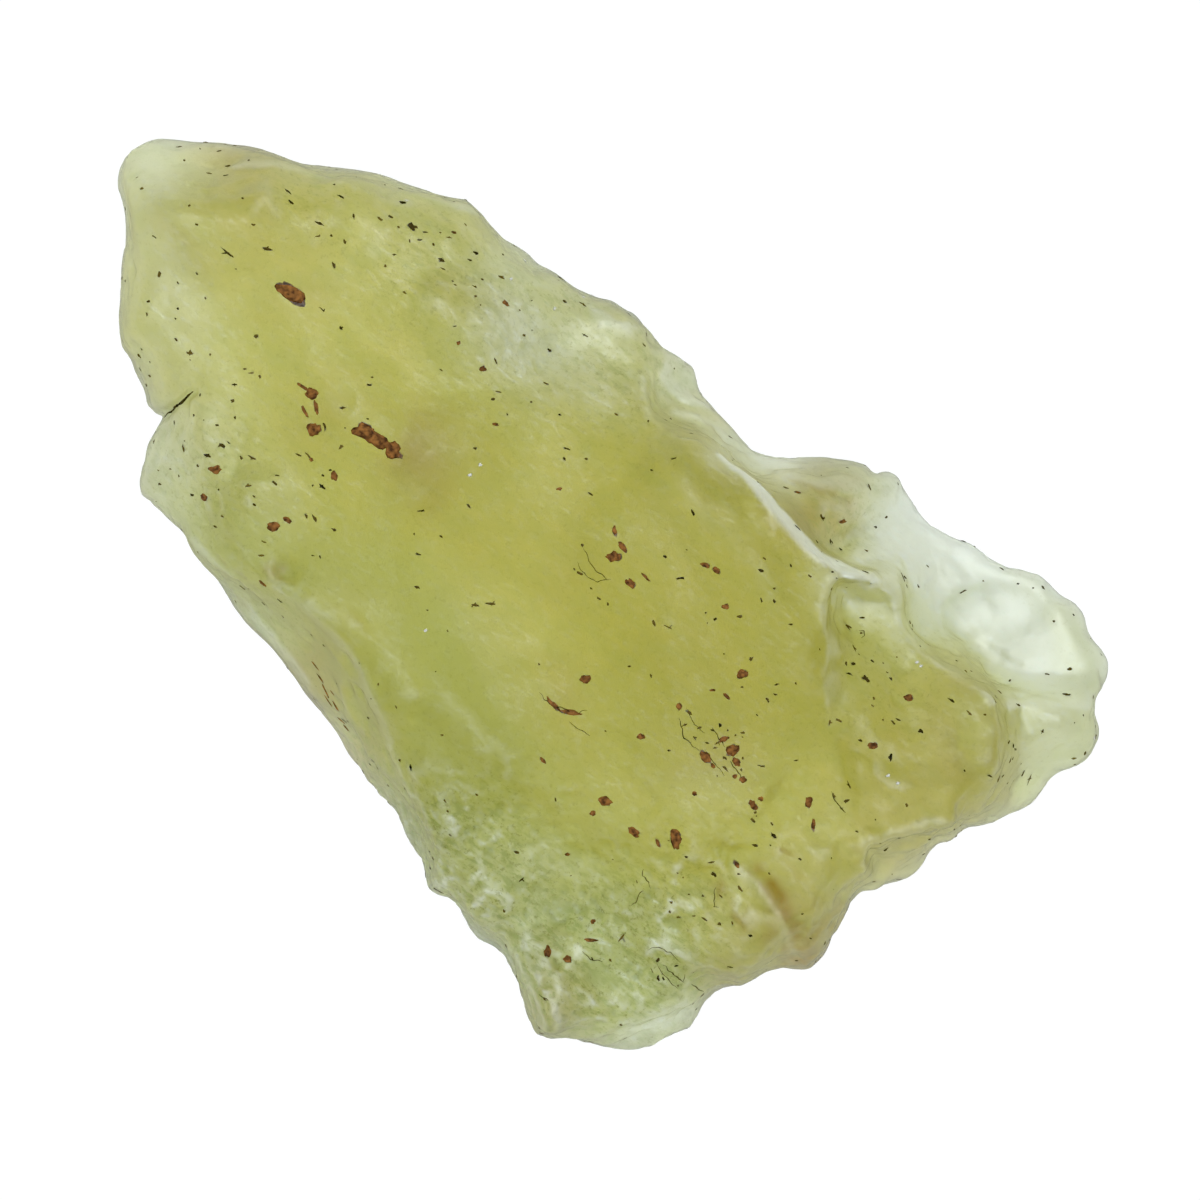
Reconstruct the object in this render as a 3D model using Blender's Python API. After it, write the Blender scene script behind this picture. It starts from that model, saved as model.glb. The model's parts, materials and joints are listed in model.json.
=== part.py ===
"""Libyan desert glass: one wind-worn, chipped piece of natural silica glass, lying on its underside.

The stone is drawn from above, in millimetres: x to the right and y up. It is one closed solid. Its upper
face and its underside are two sheets of heights that meet along the outline. How thick the glass is comes
from hand-placed spots, and zones bounded by ledges stand lower than the thick slab that they break away from.
Hollows, chips, ridges and a groove are then cut into both faces, and a sideways wave bends the walls. At the
end the drawing is turned, so that the stone's long side lies along +X, and it is centred over the origin with
its flat rest spot at z = 0.
"""

import math
import random

import bmesh
import bpy
import numpy as np
from mathutils import Vector, noise
from mathutils.geometry import delaunay_2d_cdt

MILLIMETRE = 0.001
TURN_DEG = 35.0                 # from the drawing to the stone's long side along +X

# Mesh fineness, in millimetres
RIM_STEP = 0.55                 # between points along the outline
TOP_STEP = 0.64                 # between points on the upper face
UNDER_STEP = 0.98               # between points on the underside
TOP_RINGS = (0.10, 0.30, 0.60, 1.00)
UNDER_RINGS = (0.14, 0.45, 0.95)
LEDGE_LINES = (0.0, 0.4, 1.0)   # rows of points down a ledge's slope, as shares of its width
LEDGE_RIM_GAP = 0.2             # ledge points keep this far from the outline
CURVE_SAMPLES = 12              # between two given points of a curve

# How near two points of the mesh may come, as shares of the step between points
RING_CROWDING = 0.5
LEDGE_CROWDING = 0.6
TOP_CROWDING = 0.62
UNDER_CROWDING = 0.55
RING_CLEARANCE = 0.3            # the inner points stay this far inside the last ring
RING_TRUTH = 0.93               # a ring's point counts if it lies this near its full depth inside the outline

# The rounded edge: how far in from the outline each face reaches its full height, from how thick the glass is
EDGE_REACH = 0.2
TOP_REACH_PER_DEPTH = 0.32
UNDER_REACH_PER_DEPTH = 0.44
REACH_WAVE_LENGTH = 3.6
REACH_WAVE = 0.8                # how much the reach varies around the stone, as a share
EDGE_POWER = 2.1                # 2 is a quarter of an ellipse, more is blunter
THINNEST = 0.8
MOST_CUT = 0.45                 # the share of the glass that hollows and grooves may take away

# The flat spot that the stone rests on
REST_CENTRE = (-0.4, -0.8)
REST_LONG = 6.5
REST_SHORT = 4.4
REST_HEADING_DEG = -48.0
REST_POINTS = 26
UNDER_EASE = 2.2                # distance over which the underside leaves the flat spot
UNDER_LOWEST = 0.25             # height that it then has at least

# Gentle waves over both faces, and sideways ones that keep the walls from running straight up and down
WAVE_LENGTH = 4.6
WAVE_HEIGHT = 0.16
WARP_LENGTH = 2.6
WARP_SHIFT = 0.48
WARP_EASE = 1.5                 # height above or below the outline at which the sideways wave is full

# Each wave is taken at another level of the same noise
TOP_WAVE = 2.0
RIM_WAVE = 4.0
UNDER_WAVE = 7.0
TOP_EDGE_WAVE = 11.0
UNDER_EDGE_WAVE = 17.0

OUTLINE = (
    # The left end, from its notch up and round the upper left lobe
    (-17.3, 7.3), (-17.8, 8.0), (-18.1, 8.6), (-18.4, 9.2), (-18.7, 9.7), (-19.1, 10.2), (-19.2, 11.0),
    (-19.2, 11.8), (-19.2, 12.8), (-19.0, 13.8), (-18.9, 14.8), (-19.0, 15.7), (-19.2, 16.4), (-19.2, 17.0),
    (-19.1, 17.6), (-18.8, 18.0), (-18.1, 18.3), (-17.0, 18.4), (-15.8, 18.3), (-14.6, 18.2), (-13.5, 18.0),
    (-12.6, 17.7), (-12.0, 17.5),
    # The upper side, down to the shelf
    (-11.0, 17.4), (-10.0, 17.2), (-8.9, 17.0), (-7.8, 16.6), (-6.6, 16.2), (-5.7, 16.0), (-5.2, 15.9),
    (-4.8, 15.4), (-4.3, 14.9), (-3.9, 14.3), (-3.1, 13.8), (-2.4, 13.3), (-1.8, 13.1), (-1.2, 12.6),
    (-0.2, 12.1), (0.6, 11.9), (1.3, 11.5), (1.7, 11.1), (2.2, 10.4), (2.7, 10.0), (3.4, 9.6), (3.8, 9.2),
    (4.0, 8.4), (4.5, 7.7), (5.1, 7.1), (5.5, 6.6), (6.0, 6.0), (6.5, 5.8), (7.4, 5.7), (8.9, 5.7),
    (9.9, 5.6),
    # The thin shelf and the right end
    (10.6, 5.4), (10.8, 5.2), (11.1, 4.8), (11.4, 5.0), (11.8, 4.8), (12.1, 4.4), (12.5, 4.0), (12.9, 3.3),
    (13.5, 2.8), (14.3, 2.4), (15.0, 2.2), (15.5, 1.8), (16.1, 1.5), (17.0, 1.2), (17.7, 1.0), (18.1, 0.6),
    (18.6, 0.0), (18.8, -0.1), (19.1, -0.7), (19.4, -1.3), (19.8, -1.8), (20.2, -2.2), (20.3, -2.8),
    (20.2, -3.3), (20.0, -3.6), (19.8, -3.9), (19.8, -4.4), (20.0, -4.7), (20.0, -5.2), (19.8, -5.8),
    (19.4, -6.3), (19.0, -6.6), (18.4, -6.8), (17.9, -7.1), (17.5, -7.6), (17.0, -8.1), (16.3, -8.5),
    (15.7, -8.9), (14.9, -9.1), (14.7, -9.0), (14.4, -9.0),
    # The terrace, ending in its notch
    (14.4, -9.4), (14.1, -9.6), (13.3, -9.8), (13.0, -10.1), (12.7, -10.5), (12.2, -10.9), (11.4, -11.2),
    (11.0, -11.5), (10.6, -11.6), (10.3, -11.6),
    # The lower end
    (10.0, -12.1), (9.7, -12.8), (9.4, -13.2), (9.1, -13.9), (8.7, -14.4), (8.0, -14.8), (7.4, -14.7),
    (6.6, -15.0), (5.8, -15.4), (4.9, -15.6), (4.2, -16.0), (3.8, -16.6), (3.3, -17.2), (2.3, -17.6),
    (1.0, -17.8), (-0.2, -17.8), (-1.3, -17.6), (-2.2, -17.6), (-2.6, -17.0), (-3.0, -16.1), (-3.5, -15.0),
    (-4.0, -14.0),
    # The long bevelled side, back up to the left end
    (-4.5, -13.5), (-5.1, -13.1), (-5.7, -12.4), (-6.0, -11.9), (-6.5, -11.6), (-6.9, -10.9), (-7.2, -10.3),
    (-7.8, -9.1), (-8.5, -8.1), (-9.3, -7.1), (-10.2, -6.0), (-10.7, -5.1), (-11.4, -3.9), (-12.2, -3.0),
    (-12.9, -2.1), (-13.8, -1.2), (-14.5, -0.4), (-15.3, 0.8), (-16.0, 1.6), (-16.6, 2.6), (-17.4, 3.4),
    (-18.0, 4.0), (-18.4, 4.4), (-18.4, 4.9), (-18.2, 5.6), (-17.8, 6.6),
)

# Spots are (x, y, value). These say how thick the slab is.
SLAB_SPOTS = (
    # Its thick heart
    (-7.2, 8.0, 9.3), (-10.0, 6.4, 9.4), (-5.2, 5.2, 10.5), (0.0, 6.0, 9.2), (2.4, 4.4, 10.5),
    (-10.8, 1.6, 9.2), (-5.6, 0.4, 9.2), (-8.0, -2.4, 9.7), (0.0, 1.6, 10.8), (-2.4, -1.6, 9.6),
    (5.2, 2.4, 10.9), (4.0, -3.6, 11.8), (8.0, -2.0, 11.2), (-4.0, -5.6, 10.3), (0.0, -6.4, 9.9),
    (7.2, -6.4, 9.7),
    # The thinner upper left lobe, and the lobe left of the notch's crack
    (-18.0, 15.4, 6.6), (-16.2, 16.6, 5.6), (-13.2, 15.8, 8.2), (-16.4, 12.0, 7.0), (-13.2, 12.0, 8.1),
    (-15.6, 8.4, 6.6), (-13.8, 6.8, 7.7), (-16.8, 5.6, 5.0), (-17.6, 4.4, 3.6), (-14.0, 4.0, 7.6),
    (-10.2, 14.0, 7.8), (-7.8, 15.4, 6.8), (-6.4, 12.4, 8.2), (-15.6, 2.8, 6.0), (-18.0, 17.6, 3.4),
    # Falling away to the upper right side
    (-3.6, 11.6, 6.8), (-1.6, 10.2, 5.6), (0.0, 11.2, 4.2), (0.0, 8.0, 7.2), (1.8, 9.4, 4.4), (4.0, 6.0, 8.4),
    # The chipped lower end
    (-6.4, -8.0, 8.2), (-1.6, -9.2, 8.0), (3.2, -9.6, 9.6), (7.6, -9.6, 8.8), (8.0, -12.4, 8.2),
    (-1.8, -12.0, 6.2), (2.0, -12.8, 7.4), (5.6, -13.6, 8.0), (-3.2, -10.4, 7.4), (0.4, -15.4, 6.0),
    (-2.0, -15.6, 7.0), (3.6, -15.2, 6.2),
)

# These say how high the underside lies. It rises from the flat spot to the edges.
UNDERSIDE_SPOTS = (
    (-17.6, 16.8, 2.8), (-12.0, 16.6, 2.0), (-18.6, 11.6, 2.4), (-16.0, 12.0, 1.6), (-12.0, 10.8, 1.0),
    (-17.6, 5.2, 2.6), (-13.6, 6.4, 1.2), (-12.0, 2.4, 0.8), (-15.6, 2.0, 2.0), (-6.0, 14.4, 2.0),
    (-5.2, 9.6, 0.9), (-1.6, 12.0, 2.4), (1.6, 10.0, 2.6), (0.0, 7.2, 0.9), (4.0, 6.8, 1.8), (6.8, 5.2, 2.6),
    (10.0, 5.2, 3.0), (10.8, 2.4, 2.2), (13.6, 1.6, 2.9), (16.4, 0.0, 3.1), (19.6, -2.8, 3.6),
    (18.0, -5.6, 2.6), (14.4, -3.6, 1.2), (10.4, -1.6, 0.7), (12.0, -5.6, 0.9), (15.6, -8.0, 2.4),
    (12.0, -10.0, 2.0), (7.6, -8.8, 0.8), (8.4, -13.6, 1.9), (5.2, -12.0, 1.1), (5.2, -15.2, 2.1),
    (0.8, -17.2, 2.4), (-2.0, -16.4, 2.6), (-1.6, -12.0, 1.2), (-5.2, -12.0, 1.9), (-8.0, -7.6, 1.8),
    (-5.6, -5.6, 0.8), (-10.8, -3.6, 1.8), (-8.8, 0.0, 0.7), (-13.2, -0.8, 2.0), (-3.0, 4.0, 0.8),
    (4.6, -1.4, 0.7),
)

# A zone is where the glass broke away to another thickness: the line of its ledge, the points outside the
# stone that close its border, how wide the ledge's slope is, and its own thickness spots.
LOWER_WING = {
    "ledge": ((10.2, 0.9), (9.0, 0.9), (8.6, 0.1), (8.7, -1.0), (9.0, -1.8), (8.8, -2.7), (8.8, -3.8),
              (9.1, -5.6), (9.5, -7.6), (10.1, -9.0)),
    "beyond": ((10.1, -13.0), (22.0, -13.0), (22.0, 0.9)),
    "width": 0.9,
    "spots": ((11.2, -5.6, 10.2), (14.0, -6.4, 9.2), (12.0, -2.4, 8.0), (10.0, -1.6, 8.6), (14.4, -4.4, 9.4),
              (10.4, 0.0, 7.2), (10.0, -8.0, 9.0), (13.2, -8.0, 8.8), (9.8, -4.8, 10.0)),
}
RIGHT_END = {
    "ledge": ((15.1, -3.4), (15.5, -5.0), (15.5, -6.4), (15.5, -6.9), (15.2, -7.7), (14.7, -8.4),
              (14.2, -9.0)),
    "beyond": ((14.2, -12.0), (23.0, -12.0), (23.0, -3.4)),
    "width": 1.0,
    "spots": ((16.6, -5.6, 5.6), (18.4, -5.4, 4.8), (19.4, -5.2, 4.2), (16.4, -7.6, 3.8), (15.4, -8.5, 3.3),
              (16.2, -4.4, 6.0), (18.0, -6.8, 3.4)),
}
TERRACE = {
    "ledge": ((10.35, -11.9), (10.3, -10.8), (10.2, -9.3), (10.7, -9.6), (11.4, -9.2), (12.4, -8.9),
              (13.4, -8.6), (14.6, -8.75)),
    "beyond": ((14.9, -13.0), (10.4, -13.0)),
    "width": 0.45,
    "spots": ((10.8, -10.6, 5.2), (12.0, -10.0, 5.8), (13.8, -9.2, 5.6), (12.4, -9.3, 6.1)),
}
SHELF = {
    "ledge": ((1.9, 10.9), (1.8, 9.4), (1.8, 8.2), (2.2, 6.9), (2.7, 6.5), (4.2, 5.8), (5.1, 5.3),
              (5.8, 4.6), (6.4, 3.9), (7.0, 3.3), (7.8, 2.5), (8.5, 1.6), (9.4, 1.0), (10.8, 0.6),
              (11.5, 0.1), (11.6, -0.9), (12.2, -1.6), (13.1, -2.4), (14.2, -3.2), (15.2, -3.9),
              (16.6, -4.2), (17.9, -4.4), (19.9, -4.4)),
    "beyond": ((24.0, -4.4), (24.0, 14.0), (2.0, 14.0)),
    "width": 1.5,
    "spots": ((3.6, 8.6, 2.6), (4.6, 7.0, 3.4), (6.0, 5.4, 3.3), (8.4, 3.8, 7.0), (8.6, 5.2, 4.6),
              (10.4, 5.0, 3.9), (10.0, 2.6, 4.6), (11.2, 1.6, 4.2), (12.0, 3.6, 2.0), (14.0, 1.6, 1.4),
              (13.2, -0.8, 3.4), (15.2, -2.6, 3.3), (16.0, -0.4, 1.4), (18.0, 0.0, 1.4), (18.4, -2.0, 2.3),
              (19.6, -2.8, 1.8), (17.6, -4.0, 3.6), (12.0, 0.0, 4.4), (2.4, 10.0, 2.6), (7.2, 2.4, 5.4),
              (19.2, -4.0, 2.6)),
}
SIDE_BEVEL = {
    "ledge": ((-13.9, 1.7), (-12.6, 0.6), (-11.8, 0.2), (-11.1, -0.6), (-10.3, -1.4), (-9.7, -2.1),
              (-9.3, -3.0), (-8.7, -4.2), (-8.3, -5.3), (-8.0, -6.3), (-7.5, -8.0), (-6.9, -9.8),
              (-6.7, -10.8)),
    "beyond": ((-7.6, -12.5), (-13.0, -9.5), (-18.0, -0.5)),
    "width": 0.6,
    "spots": ((-13.0, 0.4, 7.0), (-11.0, -1.4, 7.6), (-9.6, -3.6, 7.7), (-8.5, -6.4, 7.2), (-7.4, -9.0, 6.6),
              (-14.2, -0.2, 4.4), (-12.6, -2.0, 4.4), (-11.0, -4.0, 4.4), (-9.9, -5.8, 4.4),
              (-8.4, -7.9, 4.6), (-7.1, -10.0, 5.0)),
}
LOWER_LOBE = {
    "ledge": ((-0.4, -18.0), (0.4, -17.4), (1.6, -16.6), (2.9, -16.0), (4.5, -15.7)),
    "beyond": ((6.0, -17.0), (3.0, -20.0), (-1.0, -20.0)),
    "width": 0.7,
    "spots": ((1.6, -17.1, 3.4), (2.9, -16.6, 3.6), (3.8, -16.1, 3.4), (0.4, -17.7, 2.6)),
}
ZONES = (LOWER_WING, RIGHT_END, TERRACE, SHELF, SIDE_BEVEL, LOWER_LOBE)

# How high the outline lies, where the two faces meet
RIM_SPOTS = (
    (-19.1, 11.5, 5.0), (-19.1, 16.5, 5.2), (-17.0, 18.4, 4.6), (-13.0, 18.0, 4.6), (-9.0, 17.0, 4.2),
    (-5.0, 15.7, 4.4), (-1.0, 12.4, 4.2), (2.4, 10.2, 4.0), (4.3, 8.0, 4.2), (6.3, 5.8, 4.4),
    (9.0, 5.7, 4.8), (11.2, 4.9, 4.4), (13.5, 2.8, 3.9), (16.1, 1.5, 3.9), (18.6, 0.0, 4.0),
    (20.2, -2.8, 4.6), (19.9, -5.0, 4.8),
    (18.2, -6.9, 4.4), (16.3, -8.5, 4.2), (14.4, -9.1, 4.2), (12.4, -10.7, 4.6), (10.3, -11.6, 4.8),
    (9.0, -14.0, 5.0), (6.6, -15.0, 5.0), (4.2, -16.0, 4.4), (1.0, -17.8, 4.0), (-2.2, -17.6, 4.0),
    (-3.5, -15.0, 4.2), (-5.4, -12.7, 4.2), (-7.8, -9.1, 4.0), (-10.4, -5.6, 4.0), (-13.0, -2.0, 4.0),
    (-15.6, 1.2, 4.2), (-18.2, 4.2, 4.4), (-17.3, 7.3, 4.6),
)
RIM_MARGIN = 0.25               # the rim keeps this share of the glass above and below it

# Shell-shaped hollows: (x, y, long radius, short radius, heading in degrees, depth)
TOP_HOLLOWS = (
    (-1.2, 9.6, 2.6, 1.5, -35.0, 0.35),
    (-12.3, 1.35, 0.75, 0.5, 60.0, 0.80),
    (3.0, 8.7, 1.0, 0.7, -50.0, 0.45),
    (4.8, 7.0, 1.1, 0.6, -50.0, 0.45),
    (6.2, 5.0, 1.1, 0.45, -60.0, 0.50),
    (9.6, -1.1, 1.3, 1.0, 80.0, 0.40),
    (11.3, -7.1, 0.9, 0.7, -30.0, 0.35),
    (12.4, -4.6, 2.4, 1.6, -20.0, 0.35),
    (-1.7, -12.1, 1.9, 1.5, 20.0, 0.45),
    (-4.2, -9.3, 1.8, 1.2, -50.0, 0.40),
    (0.6, -14.6, 1.9, 1.2, 10.0, 0.40),
    (-17.3, 17.3, 1.6, 1.2, -20.0, 0.40),
    (11.8, -10.2, 1.2, 0.7, 20.0, 0.25),
)
UNDER_HOLLOWS = (
    (-11.0, 8.6, 4.0, 2.8, -45.0, 0.70),
    (-15.6, 14.4, 2.6, 2.0, -30.0, 0.60),
    (-4.8, 10.6, 3.0, 2.0, -30.0, 0.60),
    (9.4, -3.2, 3.2, 2.2, -60.0, 0.45),
    (12.8, 0.6, 2.6, 1.6, -40.0, 0.35),
    (8.0, -11.4, 2.8, 2.0, 30.0, 0.60),
    (1.6, -13.8, 3.2, 2.2, -10.0, 0.60),
    (-6.6, -7.8, 2.8, 1.6, -50.0, 0.50),
    (-13.4, 3.4, 2.2, 1.6, 40.0, 0.45),
    (15.8, -5.8, 2.0, 1.4, 10.0, 0.45),
)

# Lines pressed into the upper face or raised on it: the line, its half width and its depth, minus when raised
NOTCH_CRACK = ((-17.4, 7.2), (-16.9, 7.6), (-16.3, 8.1), (-15.9, 8.4))
LOWER_GROOVE = ((4.6, -9.5), (5.8, -10.7), (6.7, -11.6), (7.2, -12.2), (7.5, -12.9), (7.7, -13.8),
                (8.0, -14.9))
SHELF_RIDGE = ((13.4, 2.4), (13.8, 1.2), (14.7, -0.2), (15.2, -1.4), (15.0, -2.4))
CLIFF_CREST = SHELF["ledge"][3:14]
TOP_LINES = (
    (NOTCH_CRACK, 0.30, 0.55),
    (LOWER_GROOVE, 0.55, 0.55),
    (SHELF_RIDGE, 0.45, -0.35),
    (CLIFF_CREST, 0.40, -0.20),
)
LINE_TAPER = 1.6                # distance over which a line fades in and out at its ends
LINE_END_SHARE = 0.25           # how far along that fade a line starts

# Small chips, spread over the lower end of the upper face and along the rim of the underside
CHIPPED_END = ((-7.4, -7.4), (-4.0, -7.0), (0.0, -10.2), (4.0, -11.4), (6.4, -13.2), (5.6, -15.4),
               (1.6, -17.6), (-2.2, -17.4), (-4.0, -13.6), (-6.8, -10.4))
UNDER_CHIP_BAND = 3.2           # chips lie this near the outline on the underside
CHIP_RADII = (0.8, 1.5)
CHIP_ROUNDNESS = (0.7, 1.0)     # the short radius as a share of the long one
CHIP_DEPTH_PER_RADIUS = 0.27
CHIP_SPACING = 1.25
CHIP_TRIES = 700
CHIP_SEED = 11

GLASS_COLOUR = (0.70, 0.68, 0.34, 1.0)
GLASS_ROUGHNESS = 0.30
GLASS_IOR = 1.46


def clear_scene():
    """Remove every object that the file opened with."""
    for thing in list(bpy.data.objects):
        bpy.data.objects.remove(thing, do_unlink=True)


def smooth_step(t):
    """0 below 0, 1 above 1, and a smooth S between."""
    t = np.clip(t, 0.0, 1.0)
    return t * t * (3.0 - 2.0 * t)


def curve_through(points, step, closed):
    """Points about step apart on a smooth curve through the given ones (a centripetal Catmull-Rom curve)."""
    points = [np.array(point, float) for point in points]
    count = len(points)
    spans = count if closed else count - 1
    dense = []
    for index in range(spans):
        if closed:
            before, start, end, after = (points[(index + shift) % count] for shift in (-1, 0, 1, 2))
        else:
            start, end = points[index], points[index + 1]
            before = points[index - 1] if index > 0 else 2 * start - end
            after = points[index + 2] if index + 2 < count else 2 * end - start
        knots = [0.0]
        for first, second in ((before, start), (start, end), (end, after)):
            knots.append(knots[-1] + math.sqrt(np.linalg.norm(second - first)) + 1e-9)
        for t in np.linspace(knots[1], knots[2], CURVE_SAMPLES, endpoint=False):
            a1 = ((knots[1] - t) * before + (t - knots[0]) * start) / (knots[1] - knots[0])
            a2 = ((knots[2] - t) * start + (t - knots[1]) * end) / (knots[2] - knots[1])
            a3 = ((knots[3] - t) * end + (t - knots[2]) * after) / (knots[3] - knots[2])
            b1 = ((knots[2] - t) * a1 + (t - knots[0]) * a2) / (knots[2] - knots[0])
            b2 = ((knots[3] - t) * a2 + (t - knots[1]) * a3) / (knots[3] - knots[1])
            dense.append(((knots[2] - t) * b1 + (t - knots[1]) * b2) / (knots[2] - knots[1]))
    dense.append(dense[0] if closed else points[-1])
    dense = np.array(dense)
    lengths = np.concatenate(([0.0], np.cumsum(np.linalg.norm(np.diff(dense, axis=0), axis=1))))
    pieces = max(2, round(lengths[-1] / step))
    places = np.linspace(0.0, lengths[-1], pieces + 1)
    if closed:
        places = places[:-1]
    return np.column_stack([np.interp(places, lengths, dense[:, axis]) for axis in (0, 1)])


def spot_surface(spots):
    """The smoothest surface through hand-placed spots (a thin-plate spline), as a function of places."""
    spots = np.array(spots, float)
    places, values = spots[:, :2], spots[:, 2]
    count = len(spots)

    def bend(from_places):
        squares = ((from_places[:, None, :] - places[None, :, :]) ** 2).sum(axis=2)
        return 0.5 * squares * np.log(squares + 1e-12)

    flat = np.column_stack([np.ones(count), places])
    system = np.zeros((count + 3, count + 3))
    system[:count, :count] = bend(places)
    system[:count, count:] = flat
    system[count:, :count] = flat.T
    weights = np.linalg.solve(system, np.concatenate([values, np.zeros(3)]))
    lowest, highest = values.min(), values.max()

    def surface(where):
        tilt = np.column_stack([np.ones(len(where)), where])
        return np.clip(bend(where) @ weights[:count] + tilt @ weights[count:], lowest, highest)

    return surface


def distance_to_line(where, line, closed=False):
    """Distance to a line of points, and how far along the line the nearest place lies."""
    line = np.array(line, float)
    starts = line if closed else line[:-1]
    ends = np.roll(line, -1, axis=0) if closed else line[1:]
    best = np.full(len(where), np.inf)
    along = np.zeros(len(where))
    walked = 0.0
    for start, end in zip(starts, ends):
        run = end - start
        length = max(np.linalg.norm(run), 1e-9)
        share = np.clip((where - start) @ run / length ** 2, 0.0, 1.0)
        gap = np.linalg.norm(where - start - share[:, None] * run, axis=1)
        nearer = gap < best
        best = np.where(nearer, gap, best)
        along = np.where(nearer, walked + share * length, along)
        walked += length
    return best, along


def is_inside(where, loop):
    """Whether each place lies inside a closed loop."""
    loop = np.array(loop, float)
    inside = np.zeros(len(where), bool)
    for start, end in zip(loop, np.roll(loop, -1, axis=0)):
        crosses = (start[1] > where[:, 1]) != (end[1] > where[:, 1])
        rise = end[1] - start[1]
        slope = (end[0] - start[0]) / rise if abs(rise) > 1e-12 else 0.0
        inside ^= crosses & (where[:, 0] < start[0] + (where[:, 1] - start[1]) * slope)
    return inside


def distance_inside(where, loop):
    """Distance to a closed loop, positive inside it."""
    gap, _ = distance_to_line(where, loop, closed=True)
    return np.where(is_inside(where, loop), gap, -gap)


def in_ellipse(where, centre, long_radius, short_radius, heading_deg):
    """How far out each place lies in an ellipse: 0 at its centre, 1 on its edge."""
    heading = math.radians(heading_deg)
    offset = where - np.array(centre)
    along = offset @ np.array((math.cos(heading), math.sin(heading))) / long_radius
    across = offset @ np.array((-math.sin(heading), math.cos(heading))) / short_radius
    return np.hypot(along, across)


def hollow_depth(where, hollows):
    """How deep shell-shaped hollows cut at each place. Where two overlap, the deeper one wins."""
    depth = np.zeros(len(where))
    for x, y, long_radius, short_radius, heading_deg, deepest in hollows:
        out = in_ellipse(where, (x, y), long_radius, short_radius, heading_deg)
        depth = np.maximum(depth, deepest * np.clip(1.0 - out ** 2, 0.0, None))
    return depth


def line_depth(where, lines):
    """How deep grooves cut at each place, and ridges stand up."""
    depth = np.zeros(len(where))
    for line, half_width, deepest in lines:
        gap, along = distance_to_line(where, line)
        length = distance_to_line(np.array([line[-1]]), line)[1][0]
        fade = smooth_step(along / LINE_TAPER + LINE_END_SHARE)
        fade = fade * smooth_step((length - along) / LINE_TAPER + LINE_END_SHARE)
        depth += deepest * fade * np.exp(-(gap / half_width) ** 2)
    return depth


def scatter_chips(allowed):
    """Small round hollows at places that the given test allows, kept apart from each other."""
    draw = random.Random(CHIP_SEED)
    xs = [point[0] for point in OUTLINE]
    ys = [point[1] for point in OUTLINE]
    chips = []
    for _ in range(CHIP_TRIES):
        place = (draw.uniform(min(xs), max(xs)), draw.uniform(min(ys), max(ys)))
        radius = draw.uniform(*CHIP_RADII)
        roundness = draw.uniform(*CHIP_ROUNDNESS)
        heading = draw.uniform(0.0, 180.0)
        apart = all(math.dist(place, chip[:2]) > CHIP_SPACING for chip in chips)
        if apart and allowed(np.array([place]))[0]:
            chips.append((*place, radius, radius * roundness, heading, radius * CHIP_DEPTH_PER_RADIUS))
    return chips


def wave(where, length, level):
    """A gentle wave between about -0.5 and 0.5, different at each level."""
    return np.array([noise.noise(Vector((x / length, y / length, level))) for x, y in where])


def zone_share(where, zone):
    """0 outside a zone and 1 past its ledge, with a crisp upper edge and a soft foot."""
    t = np.clip(distance_inside(where, zone["ledge"] + zone["beyond"]) / zone["width"], 0.0, 1.0)
    return 1.0 - (1.0 - t) ** 2


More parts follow.
